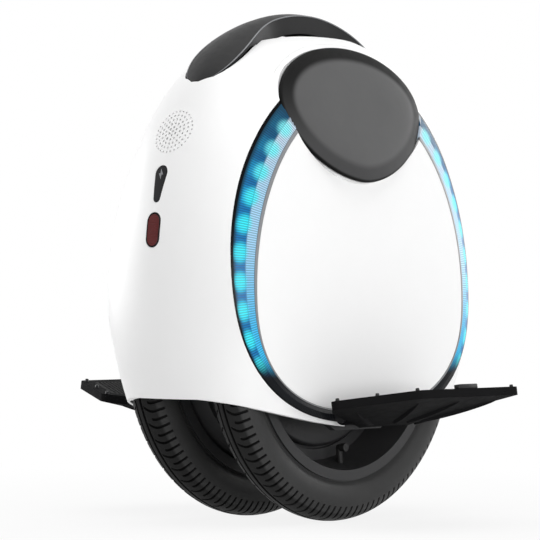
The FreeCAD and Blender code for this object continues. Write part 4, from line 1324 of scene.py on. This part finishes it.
class Surface:
    """The faces of one CAD node, for setting small pieces on them."""

    def __init__(self, node: str) -> None:
        """Read the node's faces."""
        mesh = frame["nodes"][node].data
        self.tree = BVHTree.FromPolygons([v.co for v in mesh.vertices], [p.vertices for p in mesh.polygons])

    def hit(self, start: Vector, way: Vector) -> Vector | None:
        """The first place that a straight line meets, if it meets one."""
        return self.tree.ray_cast(start, way)[0]

    def end_face(self, y: float, z: float, end: End, rise: float) -> Spot:
        """A place over the node's face at the tail or the front of the wheel.

        Args:
            y: The place across.
            z: The height.
            end: The end of the wheel that the face looks to.
            rise: How far over the face.

        Returns:
            The place.
        """
        way = end.value
        place = self.hit(Vector((way, y, z)), Vector((-way, 0.0, 0.0)))
        if place is None:
            raise ValueError("no face at %.4f, %.4f" % (y, z))
        return (place.x + way * rise, y, z)


@dataclass
class FaceRing:
    """A thin raised ring on an end face: a lamp's gasket or a button's mark."""

    name: str
    node: str
    end: End
    half_width: float
    half_height: float
    inset: float
    width: float
    rise: float
    slot: str
    body: str = MAIN_BODY
    steps: int = 72
    # The ring's section, in shares of its width and its rise.
    section: tuple[Span, ...] = ((0.0, -0.5), (0.0, 0.6), (0.2, 1.0), (0.8, 1.0), (1.0, 0.6), (1.0, -0.5))

    def outline(self, inset: float) -> list[Span]:
        """Places round a pill that lies inside the ring's outline.

        Args:
            inset: How far inside it lies.

        Returns:
            Places across and up from the ring's middle.
        """
        radius = self.half_width - inset
        straight = self.half_height - self.half_width
        spots = []
        for step in range(self.steps):
            angle = 2.0 * math.pi * (step + 0.5) / self.steps
            shift = math.copysign(straight, math.sin(angle))
            spots.append((radius * math.cos(angle), radius * math.sin(angle) + shift))
        return spots

    def build(self, wardrobe: Wardrobe) -> None:
        """Make the ring on its node's face.

        Args:
            wardrobe: The finishes.
        """
        low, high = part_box(self.node)
        middle = (low + high) / 2
        surface = Surface(self.node)
        points = []
        for share, lift in self.section:
            for y, z in self.outline(self.inset + share * self.width):
                points.append(surface.end_face(middle.y + y, middle.z + z, self.end, lift * self.rise))
        faces = grid_faces(len(self.section), self.steps, ring=True)
        piece = linked(self.name, solid_mesh(self.name, points, faces))
        wardrobe.put_on(piece, self.slot, self.body)


@dataclass
class LensFlutes:
    """Fine level ridges across a lamp's lens."""

    name: str
    node: str
    end: End
    half_width: float
    half_height: float
    margin: float
    pitch: float
    height: float
    slot: str
    slope_step: float = 0.0005
    ridge_share: float = 0.36
    ridge_sweep: float = 1.5
    ridge_steps: int = 5

    def build(self, wardrobe: Wardrobe) -> None:
        """Set one ridge over another up the lens.

        Args:
            wardrobe: The finishes.
        """
        low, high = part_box(self.node)
        middle = (low + high) / 2
        surface = Surface(self.node)
        reach = self.half_height - self.margin
        count = int(2.0 * reach / self.pitch)
        way = self.end.value
        places, tops, sizes = [], [], []
        for step in range(count):
            z = (step + 0.5) * 2.0 * reach / count - reach
            over = max(0.0, abs(z) - (self.half_height - self.half_width))
            half = math.sqrt(max(0.0, (self.half_width - self.margin) ** 2 - over * over))
            place = surface.end_face(middle.y, middle.z + z, self.end, 0.0)
            above = surface.end_face(middle.y, middle.z + z + self.slope_step, self.end, 0.0)
            slope = Vector(above) - Vector(place)
            places.append(place)
            tops.append((way * slope.z, 0.0, -way * slope.x))
            sizes.append((2.0 * half, 1.0, 1.0))
        turn = {"top": np.array(tops), "side": np.tile([0.0, 1.0, 0.0], (count, 1))}
        points = point_mesh("flute_points", np.array(places), size=np.array(sizes), **turn)
        piece = copies_on_points(self.name, self.ridge(), points, wardrobe.materials[self.slot])
        wardrobe.put_on(piece, self.slot, MAIN_BODY)

    def ridge(self) -> bpy.types.Object:
        """One low round ridge of unit length along X.

        Returns:
            An object that holds its shape.
        """
        half = self.ridge_share * self.pitch
        sweep = np.linspace(-self.ridge_sweep, self.ridge_sweep, self.ridge_steps)
        profile = [(-half, -self.height)]
        profile += [(half * math.sin(a), self.height * math.cos(a)) for a in sweep]
        profile += [(half, -self.height)]
        points = [(x, y, z) for x in (-0.5, 0.5) for y, z in profile]
        n = len(profile)
        faces = [tuple(range(n)), tuple(range(2 * n - 1, n - 1, -1))]
        faces += [(i, i + n, (i + 1) % n + n, (i + 1) % n) for i in range(n)]
        return linked("flute_shape", solid_mesh("flute_shape", points, faces))


END_PIECES = (
    FaceRing(
        "tail_gasket", "tail_lamp_lens", End.TAIL, half_width=0.0087, half_height=0.0167,
        inset=0.0001, width=0.0014, rise=0.0004, slot="gloss_black",
    ),
    LensFlutes(
        "tail_flutes", "tail_lamp_lens", End.TAIL, half_width=0.0087, half_height=0.0167,
        margin=0.0018, pitch=0.0016, height=0.0003, slot="red_lens",
    ),
    FaceRing(
        "front_gasket", "headlamp_lens", End.FRONT, half_width=0.0157, half_height=0.0267,
        inset=0.0001, width=0.0016, rise=0.0004, slot="gloss_black",
    ),
    LensFlutes(
        "front_flutes", "headlamp_lens", End.FRONT, half_width=0.0157, half_height=0.0267,
        margin=0.0022, pitch=0.0030, height=0.0005, slot="clear_lens",
    ),
    FaceRing(
        "button_mark", "power_button", End.FRONT, half_width=0.0048, half_height=0.0048,
        inset=0.0, width=0.0009, rise=0.0002, slot="grey_bead", body="button",
    ),
)


@dataclass
class ChargeMark:
    """A plain lightning mark on the charging flap's round end."""

    node: str = "charge_flap"
    z: float = 0.3385
    half_height: float = 0.0050
    half_width: float = 0.0028
    rise: float = 0.00025
    # Corners across and up, in shares of the mark's half width and half height.
    wedges: tuple[tuple[Span, ...], ...] = (
        ((0.35, 1.0), (-1.0, -0.12), (0.25, -0.12)),
        ((-0.35, -1.0), (1.0, 0.12), (-0.25, 0.12)),
    )

    def build(self, wardrobe: Wardrobe) -> None:
        """Make the mark as two slim wedges that lie on the flap.

        Args:
            wardrobe: The finishes.
        """
        surface = Surface(self.node)
        points, faces = [], []
        for wedge in self.wedges:
            start = len(points)
            for lift in (self.rise, -self.rise):
                for y, z in wedge:
                    spot = (y * self.half_width, self.z + z * self.half_height)
                    points.append(surface.end_face(*spot, End.TAIL, lift))
            a, b, c, d, e, f = range(start, start + 6)
            faces += [(a, b, c), (d, f, e), (a, d, e, b), (b, e, f, c), (c, f, d, a)]
        piece = linked("charge_mark", solid_mesh("charge_mark", points, faces))
        wardrobe.put_on(piece, "grey_bead", "flap")


@dataclass
class Pedal:
    """What is set on one folding pedal: its grip pips, its rubber buffer and the ribs under it."""

    side: Side
    tilt_deg: float = 8.7
    hinge_y: float = 0.108
    hinge_z: float = 0.1065
    top: float = 0.010
    pip_pitch: float = 0.0050
    pip_margin: float = 0.0026
    pip_radius: float = 0.0014
    pip_height: float = 0.0007
    pip_top: float = 0.62
    pip_sink: float = 0.0002
    pip_sides: int = 6
    buffer_merge: float = 1e-5
    buffer_round: float = 0.0020
    buffer_segments: int = 4
    buffer_sharp_deg: float = 40.0
    # Where the ribs start and end, along the wheel and out from the hinge.
    middle_rib: tuple[float, ...] = (0.0, 0.040, 0.0, 0.106)
    side_ribs: tuple[tuple[float, ...], ...] = ((0.020, 0.040, 0.060, 0.104), (0.034, 0.020, 0.088, 0.050))
    rib_width: float = 0.0100
    rib_height: float = 0.0030
    rib_steps: int = 14
    rib_taper: float = 0.7
    rib_swell: float = 0.12
    rib_power: float = 0.6
    rib_top: float = 0.3
    rib_sink: float = 0.0008
    probe_height: float = 0.060

    def __post_init__(self) -> None:
        """Work out the pedal's own axes."""
        tilt = math.radians(self.tilt_deg)
        self.out = Vector((0.0, self.side.value * math.cos(tilt), math.sin(tilt)))
        self.up = Vector((0.0, -self.side.value * math.sin(tilt), math.cos(tilt)))
        self.body = self.side.word + "_pedal"

    def place(self, x: float, reach: float, height: float) -> Vector:
        """A place from its distance along the wheel, out from the hinge and over it."""
        hinge = Vector((x, self.side.value * self.hinge_y, self.hinge_z))
        return hinge + self.out * reach + self.up * height

    def build(self, wardrobe: Wardrobe) -> None:
        """Make all of the pedal's small pieces.

        Args:
            wardrobe: The finishes.
        """
        self.build_pips(wardrobe)
        self.build_buffer(wardrobe)
        self.build_ribs(wardrobe)

    def build_pips(self, wardrobe: Wardrobe) -> None:
        """Set pips in staggered rows wherever the mat lies under them.

        Args:
            wardrobe: The finishes.
        """
        node = "pedal_tread_" + self.side.word
        low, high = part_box(node)
        surface = Surface(node)
        row_step = self.pip_pitch * math.sqrt(0.75)
        first = min(abs(low.y), abs(high.y)) - self.hinge_y
        spots = []
        for row in range(int((high.y - low.y) / row_step) + 2):
            reach = first + row * row_step
            shift = self.pip_pitch / 2 if row % 2 else 0.0
            for column in range(int((high.x - low.x) / self.pip_pitch) + 1):
                x = low.x + shift + column * self.pip_pitch
                if self.on_mat(surface, x, reach):
                    spots.append(tuple(self.place(x, reach, self.top)))
        count = len(spots)
        turn = {"top": np.tile(np.array(self.up), (count, 1)), "side": np.tile([1.0, 0.0, 0.0], (count, 1))}
        points = point_mesh("pip_points", np.array(spots), size=np.ones((count, 3)), **turn)
        mat = wardrobe.materials["grip_mat"]
        piece = copies_on_points("grip_pips_" + self.side.word, self.pip(), points, mat)
        wardrobe.put_on(piece, "grip_mat", self.body)

    def on_mat(self, surface: Surface, x: float, reach: float) -> bool:
        """Whether a pip's whole foot lies on the mat.

        Args:
            surface: The mat's faces.
            x: The pip's place along the wheel.
            reach: Its distance from the hinge.

        Returns:
            True if the mat is under it on all sides.
        """
        margin = self.pip_margin
        for along, across in ((margin, 0.0), (-margin, 0.0), (0.0, margin), (0.0, -margin)):
            start = self.place(x + along, reach + across, self.probe_height)
            if surface.hit(start, -self.up) is None:
                return False
        return True

    def pip(self) -> bpy.types.Object:
        """One six-sided pip with a narrower top.

        Returns:
            An object that holds its shape.
        """
        turns = [2.0 * math.pi * k / self.pip_sides for k in range(self.pip_sides)]
        levels = ((self.pip_radius, -self.pip_sink), (self.pip_top * self.pip_radius, self.pip_height))
        points = []
        for radius, z in levels:
            points += [(radius * math.cos(turn), radius * math.sin(turn), z) for turn in turns]
        foot = tuple(range(self.pip_sides))
        faces = [foot[::-1], tuple(self.pip_sides + k for k in foot)]
        faces += grid_faces(2, self.pip_sides)
        return linked("pip_shape", solid_mesh("pip_shape", points, faces))

    def build_buffer(self, wardrobe: Wardrobe) -> None:
        """Make the buffer on the outer edge, with rounded corners.

        Args:
            wardrobe: The finishes.
        """
        node = "pedal_buffer_" + self.side.word
        name = "soft_buffer_" + self.side.word
        mesh = frame["nodes"][node].data.copy()
        tidy_mesh(mesh, merge=self.buffer_merge)
        holder = linked(name, mesh)
        bevel = holder.modifiers.new("Round", "BEVEL")
        bevel.width = self.buffer_round
        bevel.segments = self.buffer_segments
        bevel.limit_method = "ANGLE"
        seen = holder.evaluated_get(bpy.context.evaluated_depsgraph_get())
        rounded = bpy.data.meshes.new_from_object(seen)
        bpy.data.objects.remove(holder)
        piece = linked(name, tidy_mesh(rounded, self.buffer_sharp_deg))
        wardrobe.put_on(piece, "dark_plastic", self.body, node)

    def rib_lines(self) -> list[tuple[float, ...]]:
        """Where the ribs run.

        Returns:
            The start and the end of each, along the wheel and out from the hinge.
        """
        lines = [self.middle_rib]
        for way in (-1.0, 1.0):
            lines += [(way * x0, v0, way * x1, v1) for x0, v0, x1, v1 in self.side_ribs]
        return lines

    def rib_depth(self, share: float) -> float:
        """How deep a rib is.

        Args:
            share: The place along it, from 0 to 1.

        Returns:
            The depth, which ends at nought.
        """
        if share >= 1.0:
            return 0.0
        swell = math.sin(math.pi * (self.rib_swell + (1.0 - self.rib_swell) * share))
        return self.rib_height * swell**self.rib_power

    def build_ribs(self, wardrobe: Wardrobe) -> None:
        """Make the stiffening ribs that fan out under the pedal.

        Args:
            wardrobe: The finishes.
        """
        plate = "pedal_plate_" + self.side.word
        surface = Surface(plate)
        points, faces = [], []
        for x0, v0, x1, v1 in self.rib_lines():
            run = Vector((x1 - x0, v1 - v0)).normalized()
            start = len(points)
            for step in range(self.rib_steps + 1):
                share = step / self.rib_steps
                half = 0.5 * self.rib_width * (1.0 - self.rib_taper * share)
                top = (self.rib_top, self.rib_depth(share))
                x, v = x0 + (x1 - x0) * share, v0 + (v1 - v0) * share
                for aside, drop in ((1.0, -self.rib_sink), top, (-top[0], top[1]), (-1.0, -self.rib_sink)):
                    spot = (x - aside * half * run.y, v + aside * half * run.x)
                    under = surface.hit(self.place(*spot, -self.probe_height), self.up)
                    points.append(tuple(under - self.up * drop))
            faces += grid_faces(self.rib_steps + 1, 4, start)
            last = start + 4 * self.rib_steps
            faces += [(start + 3, start + 2, start + 1, start), (last, last + 1, last + 2, last + 3)]
        piece = linked("pedal_ribs_" + self.side.word, solid_mesh("pedal_ribs", points, faces))
        wardrobe.put_on(piece, "dark_alloy", self.body)
        piece.data.materials[0] = frame["nodes"][plate].material_slots[0].material


@dataclass
class HandleHighlightLip:
    """A fine raised lip of pale grey along both edges of the carry handle: a painted highlight, standing for
    the light caught along the handle's edges.
    """

    centre_z: float = 0.247
    half_length: float = 0.203
    top_rise: float = 0.2565
    rear_deg: float = 38.0
    front_deg: float = 30.0
    grip_half: float = 0.017
    rear_half: float = 0.030
    front_half: float = 0.019
    flare_share: float = 0.25
    leaf_share: float = 0.70
    tip_square: float = 0.02
    crown: float = 0.16
    radius: float = 0.0006
    steps: int = 160
    sides: int = 8
    end_share: float = 0.985
    taper_rate: float = 6.0
    taper_start: float = 0.05

    def half_width(self, share: float, leaf: float) -> float:
        """Half the handle's width.

        Args:
            share: The place from the handle's middle (0) to the tip of a leaf (1).
            leaf: Half the width of that leaf.

        Returns:
            Half the width there.
        """
        if share <= self.leaf_share:
            t = min(1.0, max(0.0, (share - self.flare_share) / (self.leaf_share - self.flare_share)))
            return self.grip_half + (leaf - self.grip_half) * t * t * (3.0 - 2.0 * t)
        rest = (share - self.leaf_share) / (1.0 - self.leaf_share)
        return leaf * math.sqrt(max(self.tip_square, 1.0 - rest * rest))

    def edge(self, side: Side) -> np.ndarray:
        """Points along one edge of the handle, from its front to its rear.

        Args:
            side: The side of the handle.

        Returns:
            The points.
        """
        front = math.pi / 2 - self.end_share * math.radians(self.front_deg)
        rear = math.pi / 2 + self.end_share * math.radians(self.rear_deg)
        points = []
        for angle in np.linspace(front, rear, self.steps):
            leads = angle < math.pi / 2
            reach = math.radians(self.front_deg if leads else self.rear_deg)
            leaf = self.front_half if leads else self.rear_half
            half = self.half_width(abs(angle - math.pi / 2) / reach, leaf)
            r = 1.0 / math.hypot(math.cos(angle) / self.half_length, math.sin(angle) / self.top_rise)
            r -= self.crown * half
            points.append((r * math.cos(angle), side.value * half, self.centre_z + r * math.sin(angle)))
        return np.array(points)

    def taper(self, index: int) -> float:
        """The share of the lip's radius at a step, which falls towards both ends."""
        share = self.taper_rate * min(index, self.steps - 1 - index) / self.steps + self.taper_start
        return math.sin(math.pi * min(1.0, share) / 2)

    def build(self, wardrobe: Wardrobe) -> None:
        """Make the two lips as slim round beads, whose pale grey is a painted highlight.

        Args:
            wardrobe: The finishes.
        """
        points, faces = [], []
        for side in Side:
            line = self.edge(side)
            start = len(points)
            for index, spot in enumerate(line):
                ahead = line[min(index + 1, self.steps - 1)] - line[max(index - 1, 0)]
                turn = Vector(ahead).to_track_quat("Z", "Y").to_matrix()
                radius = self.radius * self.taper(index)
                for k in range(self.sides):
                    angle = 2.0 * math.pi * k / self.sides
                    aside = Vector((math.cos(angle), math.sin(angle), 0.0)) * radius
                    points.append(tuple(Vector(spot) + turn @ aside))
            faces += grid_faces(self.steps, self.sides, start)
            last = start + (self.steps - 1) * self.sides
            faces += [tuple(range(start, start + self.sides)), tuple(range(last, last + self.sides))]
        piece = linked("handle_lips", solid_mesh("handle_lips", points, faces))
        # Painted highlight: the pale grey bead stands for the light on the handle's edges.
        wardrobe.put_on(piece, "grey_bead", MAIN_BODY)


@dataclass
class LegPad:
    """The soft pad that the rider's leg leans on: a rounded rim, a bevelled border and a crowned face."""

    form: SideForm
    # Each stop is an inset from the pad's outline and a height over its seat.
    rim: tuple[Span, ...] = ((0.0015, 0.0), (0.0004, 0.0014), (0.0, 0.003), (0.0006, 0.0043))
    bevel_start: Span = (0.0020, 0.0053)
    bevel_end: Span = (0.0160, 0.0096)
    face: Span = (0.0320, 0.0112)
    crown: Span = (0.0480, 0.0120)
    around: int = 144
    cell: float = 0.004
    crease_width: float = 0.0026
    crease_depth: float = 0.0007

    def build(self, wardrobe: Wardrobe) -> None:
        """Make the left pad and mirror it to the right.

        Args:
            wardrobe: The finishes.
        """
        left = self.refined(linked("soft_pad_left", self.pad_mesh()))
        right_mesh = left.data.copy()
        right_mesh.transform(Matrix.Scale(-1.0, 4, (0.0, 1.0, 0.0)))
        right_mesh.flip_normals()
        right = linked("soft_pad_right", right_mesh)
        for piece, side in ((left, Side.LEFT), (right, Side.RIGHT)):
            wardrobe.put_on(piece, "pad_foam", MAIN_BODY, "leg_pad_" + side.word)

    def rings(self) -> tuple[np.ndarray, np.ndarray]:
        """The rings of points, from the rim over the front to near the middle.

        Returns:
            The inset and the height of each ring, with the crease pressed in.
        """
        stops = np.array([self.bevel_start, self.bevel_end, self.face, self.crown])
        front = np.arange(self.bevel_start[0], self.reach() - self.cell, self.cell)
        rim = np.array(self.rim)
        inset = np.concatenate([rim[:, 0], front])
        height = np.concatenate([rim[:, 1], np.interp(front, stops[:, 0], stops[:, 1])])
        press = np.exp(-(((inset - self.bevel_end[0]) / self.crease_width) ** 2))
        return inset, height - self.crease_depth * press

    def reach(self) -> float:
        """The pad's least half width on its seat."""
        up = self.form.pad_axes()[1]
        return (self.form.pad_top_z - self.form.pad_mid_z) / up.z

    def places(self) -> np.ndarray:
        """Where the points of all rings lie.

        Returns:
            Places on the left side, ring by ring.
        """
        middle, up, out = (np.array(v) for v in self.form.pad_axes())
        angle = np.linspace(0.0, 2.0 * math.pi, self.around, endpoint=False)
        inset, height = (column[:, None] for column in self.rings())
        low = (self.form.pad_mid_z - self.form.pad_low_z) / up[2]
        size = (self.form.pad_half_length, self.reach(), low)
        r = self.form.oval(angle + 0 * inset, *(s - inset for s in size), self.form.pad_power)
        along = (r * np.cos(angle))[..., None] * np.array([1.0, 0.0, 0.0])
        rise = (r * np.sin(angle))[..., None] * up
        return middle + along + rise + height[..., None] * out

    def pad_mesh(self) -> bpy.types.Mesh:
        """The left pad as a closed mesh of even rings, with each point's inset.

        Returns:
            The mesh.
        """
        grid = self.places()
        points = grid.reshape(-1, 3).tolist()
        back = len(points)
        front = back + 1
        last = back - self.around
        points += [grid[0].mean(axis=0).tolist(), grid[-1].mean(axis=0).tolist()]
        faces = grid_faces(len(grid), self.around)
        for i in range(self.around):
            beside = (i + 1) % self.around
            faces += [(back, beside, i), (front, last + i, last + beside)]
        mesh = solid_mesh("soft_pad_left", points, faces)
        mesh.shade_smooth()
        # The inset lets the pad's finish paint shade on the border's top and a shadow on its side wall.
        inset = np.concatenate([np.repeat(self.rings()[0], self.around), [self.crown[0], self.crown[0]]])
        layer = mesh.attributes.new("inset", "FLOAT", "POINT")
        layer.data.foreach_set("value", inset.astype(np.float32))
        return mesh

    def refined(self, pad: bpy.types.Object) -> bpy.types.Object:
        """Divide a pad's mesh once.

        Args:
            pad: The pad, which is removed.

        Returns:
            The finer pad.
        """
        finer = pad.modifiers.new("Finer", "SUBSURF")
        finer.levels = finer.render_levels = 1
        seen = pad.evaluated_get(bpy.context.evaluated_depsgraph_get())
        mesh = bpy.data.meshes.new_from_object(seen)
        bpy.data.objects.remove(pad)
        mesh.shade_smooth()
        return linked("soft_pad_left", mesh)


@dataclass
class Tyre:
    """A road tyre with two grooves at its crown and curved sipes to its shoulders."""

    side: Side
    sectors: int = 60
    shoulder_share: float = 0.68
    shoulder_drop: float = 0.007
    neck: Span = (0.1358, 0.0152)
    wide_radius: float = 0.1506
    foot_radius: float = 0.1273
    groove_centre: float = 0.0032
    groove_width: float = 0.0024
    groove_depth: float = 0.0030
    groove_slope: float = 0.0003
    swoosh_start: float = 0.0052
    sipe_start: float = 0.0104
    sipe_gap: float = 0.0001
    sipe_slope: float = 0.0006
    sipe_stops: Span = (0.0130, 0.0150)
    sipe_width: float = 0.0031
    sipe_depth: float = 0.0026
    sipe_floor: float = 0.6
    long_place: float = 0.25
    short_place: float = 0.75
    notch_reach: float = 0.0090
    notch_stops: Span = (0.3, 0.65)
    notch_fade: float = 0.4
    lean: float = 0.085
    lean_end: float = 0.0150
    wall_stops: tuple[float, ...] = (0.2, 0.35, 0.5, 0.62, 0.72, 0.76, 0.84, 0.88, 1.0)
    rim_line_radius: float = 0.1405
    rim_line_half: float = 0.0016
    rim_line_height: float = 0.0003
    # Radius and offset of the inner face, from the bead to the crown.
    inner: tuple[Span, ...] = (
        (0.1273, 0.0105), (0.1358, 0.0117), (0.1489, 0.0180), (0.1612, 0.0122), (0.1680, 0.0),
    )
    deep_least: float = 0.0005
    tread_edge: float = 1.02
    merge: float = 2e-6
    sharp_deg: float = 38.0

    def __post_init__(self) -> None:
        """Read the tyre's place and outer sizes from the frame."""
        low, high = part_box("tyre_" + self.side.word)
        self.radius = (high.z - low.z) / 2
        self.half_width = (high.y - low.y) / 2
        self.centre = (low + high) / 2
        self.shoulder = self.half_width * self.shoulder_share

    def build(self, wardrobe: Wardrobe) -> None:
        """Make the tyre from copies of one sector about the axle.

        Args:
            wardrobe: The finishes.
        """
        tree = PatternTree("road_tyre_" + self.side.word)
        points = tree.add("GeometryNodePoints")
        tree.join(tree.named("Sectors", "Int", self.sectors), points.inputs["Count"])
        tree.join(tree.named("Centre", "Vector", tuple(self.centre)), points.inputs["Position"])
        step = tree.add("ShaderNodeMath", operation="MULTIPLY")
        tree.join(tree.add("GeometryNodeInputIndex").outputs[0], step.inputs[0])
        tree.join(tree.named("Step", "Float", 2.0 * math.pi / self.sectors), step.inputs[1])
        turn = tree.add("ShaderNodeCombineXYZ")
        tree.join(step.outputs[0], turn.inputs["Y"])
        place = tree.add("GeometryNodeInstanceOnPoints")
        tree.join(points.outputs[0], place.inputs["Points"])
        shape = linked("tyre_sector", self.sector_mesh())
        tree.join(tree.shape(shape), place.inputs["Instance"])
        tree.join(turn.outputs[0], place.inputs["Rotation"])
        tree.finish(place.outputs[0], wardrobe.materials["tyre_rubber"], self.merge)
        tyre = tree.run(bpy.data.meshes.new("tyre_points"))
        bpy.data.objects.remove(shape)
        tidy_mesh(tyre.data, self.sharp_deg, self.merge)
        wardrobe.put_on(tyre, "tyre_rubber", WHEEL_BODY, "tyre_" + self.side.word)

    def tread_rows(self) -> list[tuple[float, float, float, float]]:
        """Rows from the crown towards the shoulder.

        Returns:
            The run, the groove's depth, and the short and the long sipe's depth of each row.
        """
        low = self.groove_centre - self.groove_width / 2
        high = self.groove_centre + self.groove_width / 2
        slope = self.groove_slope
        deep = self.groove_depth
        sipe = self.sipe_depth
        swoosh = self.swoosh_start
        start = self.sipe_start
        rows = [(0.0, 0.0, 0.0, 0.0), (low, 0.0, 0.0, 0.0), (low + slope, deep, 0.0, 0.0)]
        rows += [(high - slope, deep, 0.0, 0.0), (high, 0.0, 0.0, 0.0), (swoosh, 0.0, 0.0, 0.0)]
        rows += [(swoosh + self.sipe_slope, 0.0, 0.0, sipe), ((swoosh + start) / 2, 0.0, 0.0, sipe)]
        rows += [(start - self.sipe_gap, 0.0, 0.0, sipe), (start + self.sipe_slope, 0.0, sipe, sipe)]
        return rows + [(stop, 0.0, sipe, sipe) for stop in self.sipe_stops]

    def section(self) -> list[tuple[float, ...]]:
        """Half the outer section, from the crown to the bead.

        Returns:
            The radius, the offset, the way out in both, the run, the groove's depth, and the short and the
            long sipe's depth of each row.
        """
        half, drop = self.shoulder, self.shoulder_drop
        bend = (half * half + drop * drop) / (2.0 * drop)
        length = bend * math.asin(half / bend)
        rows = []
        for run, *depths in self.tread_rows() + [(length, 0.0, self.sipe_depth, self.sipe_depth)]:
            way = (math.cos(run / bend), math.sin(run / bend))
            rows.append((self.radius - bend + bend * way[0], bend * way[1], *way, run, *depths))
        return rows + self.wall_rows(Vector((self.radius - drop, half)), length)

    def wall_rows(self, shoulder: Vector, run: float) -> list[tuple[float, ...]]:
        """Rows down the side wall, from the shoulder to the bead.

        Args:
            shoulder: The shoulder's radius and offset.
            run: The run from the crown to the shoulder.

        Returns:
            Rows as in section.
        """
        wide = Vector((self.wide_radius, self.half_width))
        neck = Vector(self.neck)
        first, second = wide - shoulder, neck - shoulder
        cross = 2.0 * (first.x * second.y - first.y * second.x)
        a, b = first.length_squared, second.length_squared
        offset = Vector((second.y * a - first.y * b, first.x * b - second.x * a)) / cross
        centre = shoulder + offset
        bend = offset.length
        start = math.atan2(shoulder.y - centre.y, shoulder.x - centre.x)
        end = math.atan2(neck.y - centre.y, neck.x - centre.x)
        length = bend * (end - start)
        notch = self.notch_reach
        stops = [share * notch for share in self.notch_stops] + [notch, notch + self.sipe_slope]
        stops += [notch + (length - notch) * share for share in self.wall_stops]
        rows = []
        for stop in stops:
            angle = start + stop / bend
            way = (math.cos(angle), math.sin(angle))
            depth = self.sipe_depth * (1.0 - self.notch_fade * stop / notch) if stop <= notch else 0.0
            radius = centre.x + bend * way[0]
            raised = abs(radius - self.rim_line_radius) < self.rim_line_half
            groove = -self.rim_line_height if raised else 0.0
            rows.append((radius, centre.y + bend * way[1], *way, run + stop, groove, depth, depth))
        rows.append((self.foot_radius, self.neck[1], 0.0, 1.0, run + length, 0.0, 0.0, 0.0))
        return rows

    def columns(self) -> list[tuple[float, Cut]]:
        """The lines across one sector's tread.

        Returns:
            The share of the sector where each runs, and the sipe whose floor it follows.
        """
        pitch = 2.0 * math.pi * self.radius / self.sectors
        edge = self.sipe_width / 2 / pitch
        floor = self.sipe_floor * edge
        lines = [(share, Cut.NONE) for share in (0.0, 0.5, 1.0)]
        for centre, cut in ((self.long_place, Cut.LONG), (self.short_place, Cut.SHORT)):
            lines += [(centre + edge * way, Cut.NONE) for way in (-1.0, 1.0)]
            lines += [(centre + floor * way, cut) for way in (-1.0, 1.0)]
        return sorted(lines, key=lambda line: line[0])

    def sector_mesh(self) -> bpy.types.Mesh:
        """One sector of the carcass, open at its two ends, about the tyre's centre.

        Returns:
            The mesh, with marks of the points that are deep and of those on the tread, which the rubber's
            finish paints with shade.
        """
        right = self.section()
        left = [(r, -y, nr, -ny, *rest) for r, y, nr, ny, *rest in reversed(right[1:])]
        inside = [*self.inner, *((r, -y) for r, y in reversed(self.inner[:-1]))]
        rows = left + right + [(r, y, 0.0, 0.0, 1.0, 0.0, 0.0, 0.0) for r, y in inside]
        step = 2.0 * math.pi / self.sectors
        lines = self.columns()
        points, deep, tread = [], [], []
        for r, y, nr, ny, run, groove, short, long in rows:
            lean = self.lean * max(0.0, 1.0 - run / self.lean_end) ** 2
            sipe = {Cut.NONE: 0.0, Cut.SHORT: short, Cut.LONG: long}
            for share, cut in lines:
                depth = groove + sipe[cut]
                # Marks for the finish's painted shade: black where deep, darker on the tread.
                deep.append(1.0 if depth > self.deep_least else 0.0)
                tread.append(1.0 if abs(y) <= self.tread_edge * self.shoulder else 0.0)
                angle = step * share + lean
                radius = r - depth * nr
                points.append((radius * math.sin(angle), y - depth * ny, radius * math.cos(angle)))
        wide = len(lines)
        faces = []
        for j in range(len(rows)):
            below = (j + 1) % len(rows)
            for i in range(wide - 1):
                faces.append((j * wide + i, j * wide + i + 1, below * wide + i + 1, below * wide + i))
        mesh = bpy.data.meshes.new("tyre_sector")
        mesh.from_pydata(points, [], faces)
        for name, values in (("deep", deep), ("tread", tread)):
            mesh.attributes.new(name, "FLOAT", "POINT").data.foreach_set("value", values)
        return mesh


def main() -> None:
    """Build the studio and dress the part, one sub-assembly after another."""
    logging.basicConfig(level=logging.INFO, format="%(name)s: %(message)s")
    Studio().build()
    wardrobe = Wardrobe(FINISHES)
    wardrobe.dress_nodes()
    form = SideForm()
    for side in Side:
        LightBand(form, side).build(wardrobe)
        Tyre(side).build(wardrobe)
        Pedal(side).build(wardrobe)
    LegPad(form).build(wardrobe)
    for piece in END_PIECES:
        piece.build(wardrobe)
    ChargeMark().build(wardrobe)
    HandleHighlightLip().build(wardrobe)


if __name__ == "__main__":
    main()
